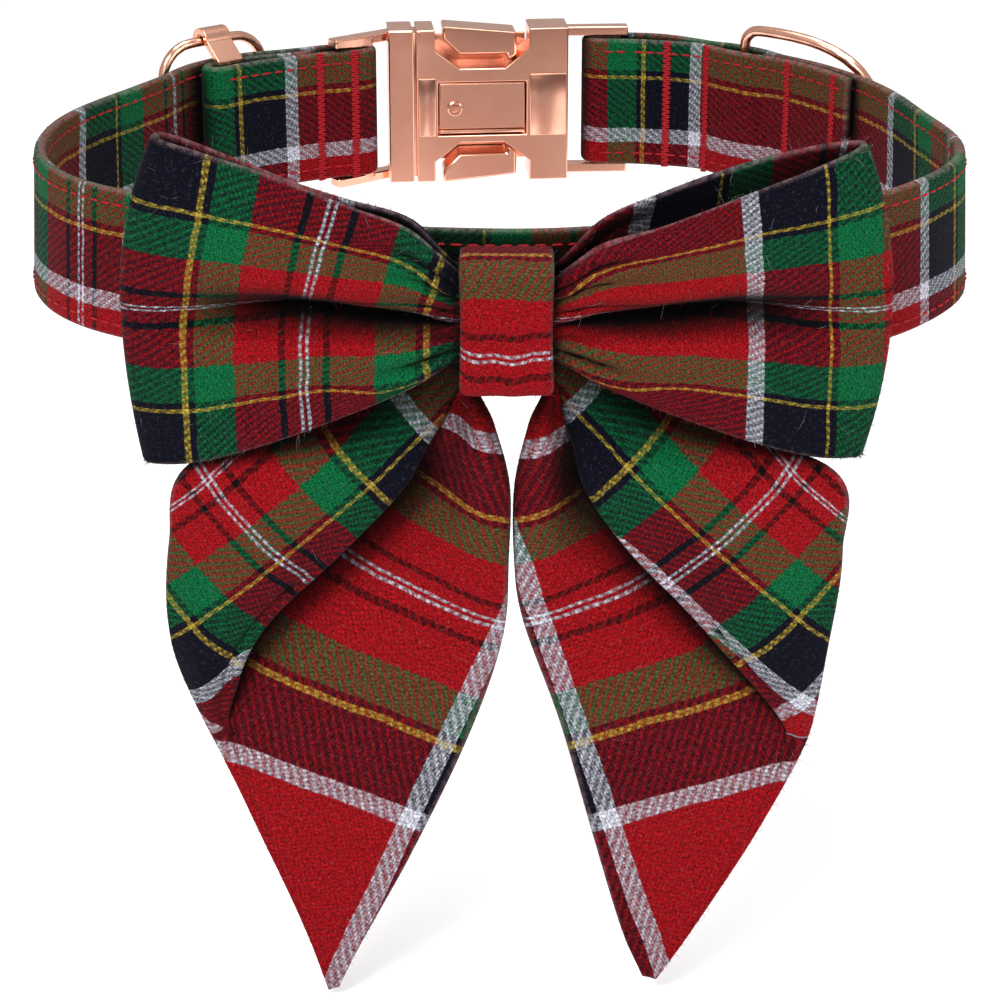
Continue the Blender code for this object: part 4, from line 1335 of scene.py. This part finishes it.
@dataclass
class Tails:
    """The two tails: one folded strip whose middle the knot grips, each with a lapel folded outwards."""

    neck_y: float
    drop: float = 120 * MM
    spread: float = 53.5 * MM
    wall: float = 1.6 * MM
    fold: float = 6.5 * MM
    recess: float = 9.0 * MM
    ridge: float = 4.0 * MM
    lean: float = 3.0 * MM
    lap: float = 0.035
    left: tuple[tuple[float, ...], ...] = (
        (0.00, 0.000, 0.000, 0.000, 0.090, 0.60, 0.00, 0.00),
        (0.07, 0.140, 0.052, 0.095, 0.100, 0.60, 0.00, 0.00),
        (0.14, 0.440, 0.126, 0.042, 0.145, 0.58, 0.40, 0.80),
        (0.24, 0.915, 0.186, -0.008, 0.223, 0.63, 1.00, 1.00),
        (0.35, 0.995, 0.296, -0.008, 0.326, 0.46, 1.00, 0.55),
        (0.50, 1.000, 0.445, 0.010, 0.450, 0.195, 0.75, 0.20),
        (0.65, 0.885, 0.600, 0.115, 0.600, 0.03, 0.10, 0.00),
        (0.81, 0.740, 0.770, 0.295, 0.780, 0.03, 0.00, 0.00),
        (0.93, 0.620, 0.910, 0.450, 0.915, 0.03, 0.00, 0.00),
        (1.00, 0.560, 0.998, 0.530, 0.990, 0.03, 0.00, 0.00),
    )
    right: tuple[tuple[float, ...], ...] = (
        (0.00, 0.000, 0.000, 0.000, 0.090, 0.60, 0.00, 0.00),
        (0.07, 0.140, 0.052, 0.120, 0.100, 0.60, 0.00, 0.00),
        (0.14, 0.440, 0.126, 0.072, 0.145, 0.66, 0.40, 0.60),
        (0.24, 0.950, 0.196, 0.026, 0.223, 0.73, 1.00, 0.90),
        (0.35, 0.995, 0.310, 0.022, 0.326, 0.58, 1.00, 0.50),
        (0.50, 0.965, 0.450, 0.050, 0.425, 0.325, 0.80, 0.20),
        (0.65, 0.905, 0.607, 0.165, 0.580, 0.03, 0.12, 0.00),
        (0.81, 0.745, 0.770, 0.278, 0.765, 0.03, 0.00, 0.00),
        (0.93, 0.575, 0.905, 0.368, 0.905, 0.03, 0.00, 0.00),
        (1.00, 0.472, 0.980, 0.432, 0.972, 0.05, 0.00, 0.00),
    )
    left_weave: TailWeave = TailWeave(
        (-0.7, -51.5), math.radians(23.3), 1.27, 0.935, (-46.3, -24.9), math.radians(-40), 0.9
    )
    right_weave: TailWeave = TailWeave(
        (5.5, -50.2), math.radians(17.6), 1.27, 0.94, (44.0, -23.4), math.radians(-43), 0.9
    )

    def spot(self, along: float, across: float) -> tuple[Point, bool]:
        """A point of the tails' middle surface.

        Args:
            along: 0 at the left tip, 1 at the right tip.
            across: 0 at the outer edge, 1 at the inner edge.

        Returns:
            The point, and whether it is on the folded lapel.
        """
        side = -1 if along < 0.5 else 1
        share = abs(2 * along - 1)
        rows = self.left if side < 0 else self.right
        outer, outer_drop, inner, inner_drop, crease, fold, ridge = (
            table_value(rows, column, share) for column in range(1, 8)
        )
        seam = max(crease, 0.05)
        turned = across < 0.5
        lap = self.lap * ease(fold * 2)
        if turned:
            part = (seam + lap) * across / 0.5
        else:
            part = seam - lap + (1 - seam + lap) * (across - 0.5) / 0.5
        bend = abs(across - 0.5) / 0.03
        if bend < 1:
            # The lapel's edge rolls under
            roll = math.sqrt(max(1 - (1 - bend) ** 2, 0))
            near = seam + lap * (1.35 - 0.35 * bend)
            part = near if turned else near + (part - near) * roll
        x = side * (outer + (inner - outer) * part) * self.spread
        z = -(outer_drop + (inner_drop - outer_drop) * part) * self.drop
        y = 0.0
        if turned:
            y = -self.fold * fold * (0.45 + 0.55 * math.sin(math.pi * min(part / seam, 1)))
            if bend < 1:
                y += 0.9 * MM * (1 - bend) ** 2 * ease(fold * 2)
        else:
            behind = self.recess * max(fold, 0) ** 1.5 * ease((share - 0.14) / 0.1)
            behind *= math.exp(-max(part - seam, 0) / 0.15)
            y = behind
            if bend < 1:
                edge = -self.fold * fold * 0.45 + 0.9 * MM * ease(fold * 2)
                y = edge + (behind - edge) * ease(bend)
        y -= self.ridge * ridge * math.exp(-(((part - 0.92) / 0.09) ** 2))
        y -= self.lean * ease((share - 0.07) / 0.16)
        y += 0.5 * MM * math.sin(9 * share + 2.5 * part) * ease((share - 0.3) / 0.2) * part
        return (x, self.neck_y + y, z), turned

    def place(self, along: float, across: float) -> Point:
        """A point of the tails' middle surface."""
        return self.spot(along, across)[0]

    def weave(self, along: float, across: float, point: Point) -> tuple[float, float]:
        """The cloth's threads at a point."""
        lay = self.left_weave if along < 0.5 else self.right_weave
        x, z = point[0] / MM, point[2] / MM
        if across < 0.5 and abs(2 * along - 1) < 0.635:
            return lay.on_flap(x, z)
        return lay.on_panel(x, z)

    def build(self, cloth: bpy.types.Material) -> bpy.types.Object:
        """Builds the tails and their nap.

        Args:
            cloth: The flannel.

        Returns:
            The sheet.
        """
        strip = Cloth("tails_flannel", self.place, self.weave, self.wall, 0.24, 0.045, 236, 100)
        piece = strip.build(cloth)
        finish_sheet(piece, strip, "bow_tails")
        fluff("tails", strip, cloth)
        return piece


@dataclass
class ElasticLoop:
    """A flat elastic loop behind one wing, round the strap."""

    loop: Loop
    side: int
    x: float = 21 * MM
    width: float = 8 * MM
    wall: float = 1.1 * MM
    frame: tuple[Vector, ...] = ()

    def __post_init__(self) -> None:
        """Finds the strap's place behind the wing."""
        length = self.loop.length_at(self.side * self.x, False)
        self.frame = (self.loop.base(length), self.loop.ahead(length), self.loop.out(length))

    def place(self, along: float, across: float) -> Point:
        """A point of the loop's middle surface."""
        middle, ahead, out = self.frame
        half = STRAP_THICK / 2 + 0.7 * MM + 1.5 * CLEARANCE + self.wall / 2
        high = STRAP_WIDTH / 2 + CLEARANCE + self.wall / 2
        angle = 2 * math.pi * along
        power = 0.22
        off = half * math.copysign(abs(math.cos(angle)) ** power, math.cos(angle))
        up = high * math.copysign(abs(math.sin(angle)) ** (power * 1.4), math.sin(angle))
        place = middle + out * off + ahead * (across - 0.5) * self.width
        return (place.x, place.y, up)

    def weave(self, along: float, across: float, point: Point) -> tuple[float, float]:
        """Millimetres across and along the elastic."""
        return (across * self.width / MM * 4, along * 60)

    def build(self, elastic: bpy.types.Material) -> None:
        """Builds one loop.

        Args:
            elastic: The braided elastic.
        """
        word = "left" if self.side < 0 else "right"
        band = Cloth(
            f"elastic_{word}_braid", self.place, self.weave, self.wall, 0.06, self.width, 96, 10, ring=True
        )
        piece = band.build(elastic)
        settle(piece, "collar")
        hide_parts(f"elastic_{word}")


class Edge(Enum):
    """How a fitting's edges were finished after casting."""

    TUMBLED = 0.16 * MM
    CRISP = 0.1 * MM


@dataclass
class Fitting:
    """One cast fitting, made from a merged copy of its solid with its edges rounded off."""

    node: str
    body: str
    edge: Edge = Edge.TUMBLED
    weld: float = 0.004 * MM

    def start(self) -> bpy.types.Object:
        """Copies the solid and joins its loose triangles into plain faces.

        Returns:
            The copy, selected and active.
        """
        bpy.ops.object.select_all(action="DESELECT")
        source = frame["nodes"][self.node]
        piece = bpy.data.objects.new(f"{self.node}_cast", source.data.copy())
        bpy.context.scene.collection.objects.link(piece)
        piece.select_set(True)
        bpy.context.view_layer.objects.active = piece
        with editing():
            bpy.ops.mesh.remove_doubles(threshold=self.weld)
        return piece

    def finish(self, piece: bpy.types.Object, gold: bpy.types.Material) -> bpy.types.Object:
        """Plates the piece and puts it in its solid's place.

        Args:
            piece: The finished shape.
            gold: The plated metal.

        Returns:
            The piece.
        """
        piece.data.materials.clear()
        piece.data.materials.append(gold)
        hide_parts(self.node)
        settle(piece, self.body)
        return piece

    def cast(self, gold: bpy.types.Material) -> bpy.types.Object:
        """Makes a flat sided fitting with rounded edges.

        Args:
            gold: The plated metal.

        Returns:
            The piece.
        """
        piece = self.start()
        with editing():
            bpy.ops.mesh.dissolve_limited(angle_limit=math.radians(1))
        bevel = piece.modifiers.new("rounded", "BEVEL")
        bevel.width = self.edge.value
        bevel.segments = 3
        bevel.limit_method = "ANGLE"
        bevel.angle_limit = math.radians(25)
        bpy.ops.object.modifier_apply(modifier="rounded")
        bpy.ops.object.shade_smooth()
        even = piece.modifiers.new("even", "WEIGHTED_NORMAL")
        even.weight = 100
        bpy.ops.object.modifier_apply(modifier="even")
        return self.finish(piece, gold)

    def draw_wire(self, gold: bpy.types.Material) -> bpy.types.Object:
        """Makes a round wire fitting.

        Args:
            gold: The plated metal.

        Returns:
            The piece.
        """
        piece = self.start()
        with editing():
            bpy.ops.transform.shrink_fatten(value=0.06 * MM)
        round_off = piece.modifiers.new("round", "SUBSURF")
        round_off.levels = 2
        round_off.render_levels = 2
        bpy.ops.object.modifier_apply(modifier="round")
        bpy.ops.object.shade_smooth()
        return self.finish(piece, gold)


@dataclass
class BuckleTrim:
    """The low pads, rails and screw slot on the buckle's neck side, in the buckle's own frame."""

    place: Point = (-5 * MM, 64 * MM, 0.0)
    turn: float = math.radians(5)
    face: float = -4.3 * MM
    pads: tuple[tuple[float, float, float, float], ...] = (
        (-12.2, -8.9, -5.9, 5.6),
        (9.5, 16.6, -6.1, 6.2),
    )
    rails: tuple[float, ...] = (4.25, -5.15)
    screw_radius: float = 1.45 * MM
    screw_place: Point = (-5.2 * MM, -4.4 * MM, -0.4 * MM)
    screw_steps: tuple[tuple[float, float], ...] = (
        (0.0, 0.34),
        (0.2, 0.12),
        (0.22, 0.0),
        (0.06, -0.22),
        (0.12, 0.0),
        (0.06, 0.2),
        (0.28, 0.03),
        (0.05, -0.25),
    )

    def bar(self, name: str, low: Point, high: Point, rounding: float) -> bpy.types.Object:
        """Makes a low rounded block.

        Args:
            name: Its name.
            low: Its lowest corner in millimetres.
            high: Its highest corner in millimetres.
            rounding: How far its edges are rounded, in millimetres.

        Returns:
            The block, in the buckle's place.
        """
        bpy.ops.object.select_all(action="DESELECT")
        middle = [(a + b) / 2 * MM for a, b in zip(low, high)]
        sides = [(b - a) * MM for a, b in zip(low, high)]
        bpy.ops.mesh.primitive_cube_add(size=1, location=middle, scale=sides)
        block = bpy.context.object
        block.name = name
        bpy.ops.object.transform_apply(location=True, rotation=True, scale=True)
        with editing():
            bpy.ops.mesh.bevel(offset=rounding * MM, segments=3, affect="EDGES")
        self.stand(block)
        bpy.ops.object.shade_smooth_by_angle(angle=math.radians(40))
        return block

    def stand(self, piece: bpy.types.Object) -> None:
        """Moves a piece's mesh from the buckle's frame to its place."""
        piece.data.transform(Matrix.Translation(self.place) @ Matrix.Rotation(self.turn, 4, "Z"))

    def screw(self) -> bpy.types.Object:
        """Makes the screw's domed head with its ring and socket.

        Returns:
            The head, in the buckle's place.
        """
        bpy.ops.object.select_all(action="DESELECT")
        bpy.ops.mesh.primitive_circle_add(
            vertices=40, radius=self.screw_radius, fill_type="NGON", location=(0, 0, 0)
        )
        head = bpy.context.object
        head.name = "buckle_screw_head"
        with editing():
            for inset, rise in self.screw_steps:
                if inset:
                    bpy.ops.mesh.inset(thickness=inset * MM)
                    bpy.ops.transform.translate(value=(0, 0, rise * MM))
                else:
                    bpy.ops.mesh.extrude_region_move(TRANSFORM_OT_translate={"value": (0, 0, rise * MM)})
        # The open underside is closed
        with editing():
            bpy.ops.mesh.select_all(action="DESELECT")
            bpy.ops.mesh.select_mode(type="EDGE")
            bpy.ops.mesh.select_non_manifold()
            bpy.ops.mesh.edge_face_add()
            bpy.ops.mesh.select_mode(type="VERT")
        outward(head)
        head.data.transform(Matrix.Translation(self.screw_place) @ Matrix.Rotation(math.pi / 2, 4, "X"))
        self.stand(head)
        bpy.ops.object.shade_smooth_by_angle(angle=math.radians(28))
        return head

    def build(self, gold: bpy.types.Material) -> None:
        """Builds the trim.

        Args:
            gold: The plated metal.
        """
        front = self.face / MM
        made = []
        for word, (left, right, low, high) in zip(("left", "right"), self.pads):
            near, far = (left, front - 0.32, low), (right, front + 0.3, high)
            made.append(self.bar(f"buckle_pad_{word}", near, far, 0.16))
        for word, height in zip(("upper", "lower"), self.rails):
            low, high = (-8.1, front + 0.1, height - 0.34), (8.5, front + 1.0, height + 0.34)
            made.append(self.bar(f"plate_rail_{word}", low, high, 0.2))
        made.append(self.bar("buckle_seam_web", (-13.25, -2.9, -14.3), (-12.55, 2.9, 14.3), 0.08))
        for word, side in (("upper", 1), ("lower", -1)):
            low, high = sorted((side * 7.2, side * 12.6))
            made.append(self.bar(f"{word}_notch_web", (-8.8, 3.5, low), (9.2, 4.15, high), 0.1))
        for piece in made:
            piece.data.materials.append(gold)
            settle(piece, "collar")
        head = self.screw()
        head.data.materials.append(gold)
        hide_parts("buckle_screw")
        settle(head, "collar")


@dataclass
class Fittings:
    """All the rose gold fittings."""

    flat_sided: tuple[Fitting, ...] = (
        Fitting("buckle_socket", "collar"),
        Fitting("buckle_plug", "collar"),
        Fitting("buckle_plate", "collar", Edge.CRISP),
        Fitting("upper_lever", "lever_up"),
        Fitting("lower_lever", "lever_down"),
        Fitting("slider_bar", "collar"),
    )
    wires: tuple[Fitting, ...] = (Fitting("d_ring", "ring"), Fitting("slider_frame", "collar"))

    def build(self, gold: bpy.types.Material) -> None:
        """Builds every fitting.

        Args:
            gold: The plated metal.
        """
        for fitting in self.flat_sided:
            fitting.cast(gold)
        for fitting in self.wires:
            fitting.draw_wire(gold)
        BuckleTrim().build(gold)


@dataclass
class Studio:
    """A pale floor, soft lights and the camera at the photograph's angle."""

    floor_z: float = -120.6 * MM
    camera_place: Point = (-0.001, -0.508, 0.1464)
    camera_tilt: float = math.radians(68)
    lens: float = 107.2

    def floor(self) -> None:
        """Adds the floor."""
        bpy.ops.object.select_all(action="DESELECT")
        bpy.ops.mesh.primitive_plane_add(size=8, location=(0, 0, self.floor_z))
        plane = bpy.context.object
        plane.name = "studio_floor"
        paint = Shading("painted_studio_floor_white")
        tone = paint.mix(paint.noise(paint.place(), 40.0), linear("f6f6f6"), linear("fbfbfb"))
        plane.data.materials.append(paint.finish({"Base Color": tone, "Roughness": 0.9}))

    def light(self, name: str, place: Point, aim: Point, size: float, power: float) -> bpy.types.Object:
        """Adds a soft light.

        Args:
            name: Its name.
            place: Where it stands.
            aim: What it points at.
            size: The side of its square face.
            power: Its power in watts.

        Returns:
            The light.
        """
        data = bpy.data.lights.new(name, "AREA")
        data.shape = "SQUARE"
        data.size = size
        data.energy = power
        lamp = bpy.data.objects.new(name, data)
        lamp.location = place
        lamp.rotation_euler = (Vector(aim) - Vector(place)).to_track_quat("-Z", "Y").to_euler()
        bpy.context.scene.collection.objects.link(lamp)
        return lamp

    def build(self) -> None:
        """Sets the world, the lights and the camera."""
        scene = bpy.context.scene
        scene.view_settings.view_transform = "Standard"
        world = bpy.data.worlds.new("studio")
        world.use_nodes = True
        world.node_tree.nodes["Background"].inputs[0].default_value = (1, 1, 1, 1)
        world.node_tree.nodes["Background"].inputs[1].default_value = 0.5
        scene.world = world
        self.floor()
        self.light("key", (-0.4, -0.8, 0.8), (0, -0.02, 0), 0.45, 11.0)
        self.light("fill", (0.9, -0.6, 0.3), (0, -0.02, 0), 0.6, 3.0)
        self.light("front", (0.0, -1.5, 0.05), (0, 0.0, 0), 0.9, 5.0)
        self.light("top", (0.1, 0.1, 1.2), (0, 0.0, 0), 0.8, 12.0)
        # A small card inside the loop, which only the fittings mirror
        card = self.light("buckle_card", (-0.004, -0.03, -0.055), (-0.005, 0.06, 0), 0.1, 0.0145)
        card.visible_diffuse = False
        card.visible_camera = False
        data = bpy.data.cameras.new("photograph")
        data.lens = self.lens
        data.sensor_width = 36
        camera = bpy.data.objects.new("photograph", data)
        camera.location = self.camera_place
        camera.rotation_euler = (self.camera_tilt, 0, 0)
        scene.collection.objects.link(camera)
        scene.camera = camera


def main() -> None:
    """Builds the studio and every piece of the collar."""
    logging.basicConfig(level=logging.INFO, format="%(message)s")
    Studio().build()
    flannel = Tartan().build()
    gold = RoseGold().build()
    elastic = BraidedElastic().build()
    thread = SewingThread().build()

    loop = Loop()
    strap_front = -LOOP_HALF_DEPTH - STRAP_THICK / 2 - 0.7 * MM
    tail_y = strap_front - CLEARANCE - 0.8 * MM
    knot_back = tail_y - 0.8 * MM - CLEARANCE
    pinch = Bow.sections[0][3] * Bow.depth
    bow_y = knot_back - 1.8 * MM - CLEARANCE - 0.8 * MM - pinch
    knot_front = bow_y - pinch - 0.8 * MM - CLEARANCE - 1.8 * MM

    cloths = [
        Strap(loop).build(flannel, thread),
        Bow(bow_y).build(flannel),
        Knot(knot_front, knot_back).build(flannel),
        Tails(tail_y).build(flannel),
    ]
    # Openness of each cloth point, for the shade painted into the flannel's colour in folds and under other
    # pieces
    PaintedFoldShade().measure(cloths, [frame["nodes"][name] for name in ("buckle_socket", "buckle_plug")])
    for side in (-1, 1):
        ElasticLoop(loop, side).build(elastic)
    Fittings().build(gold)


if __name__ == "__main__":
    main()
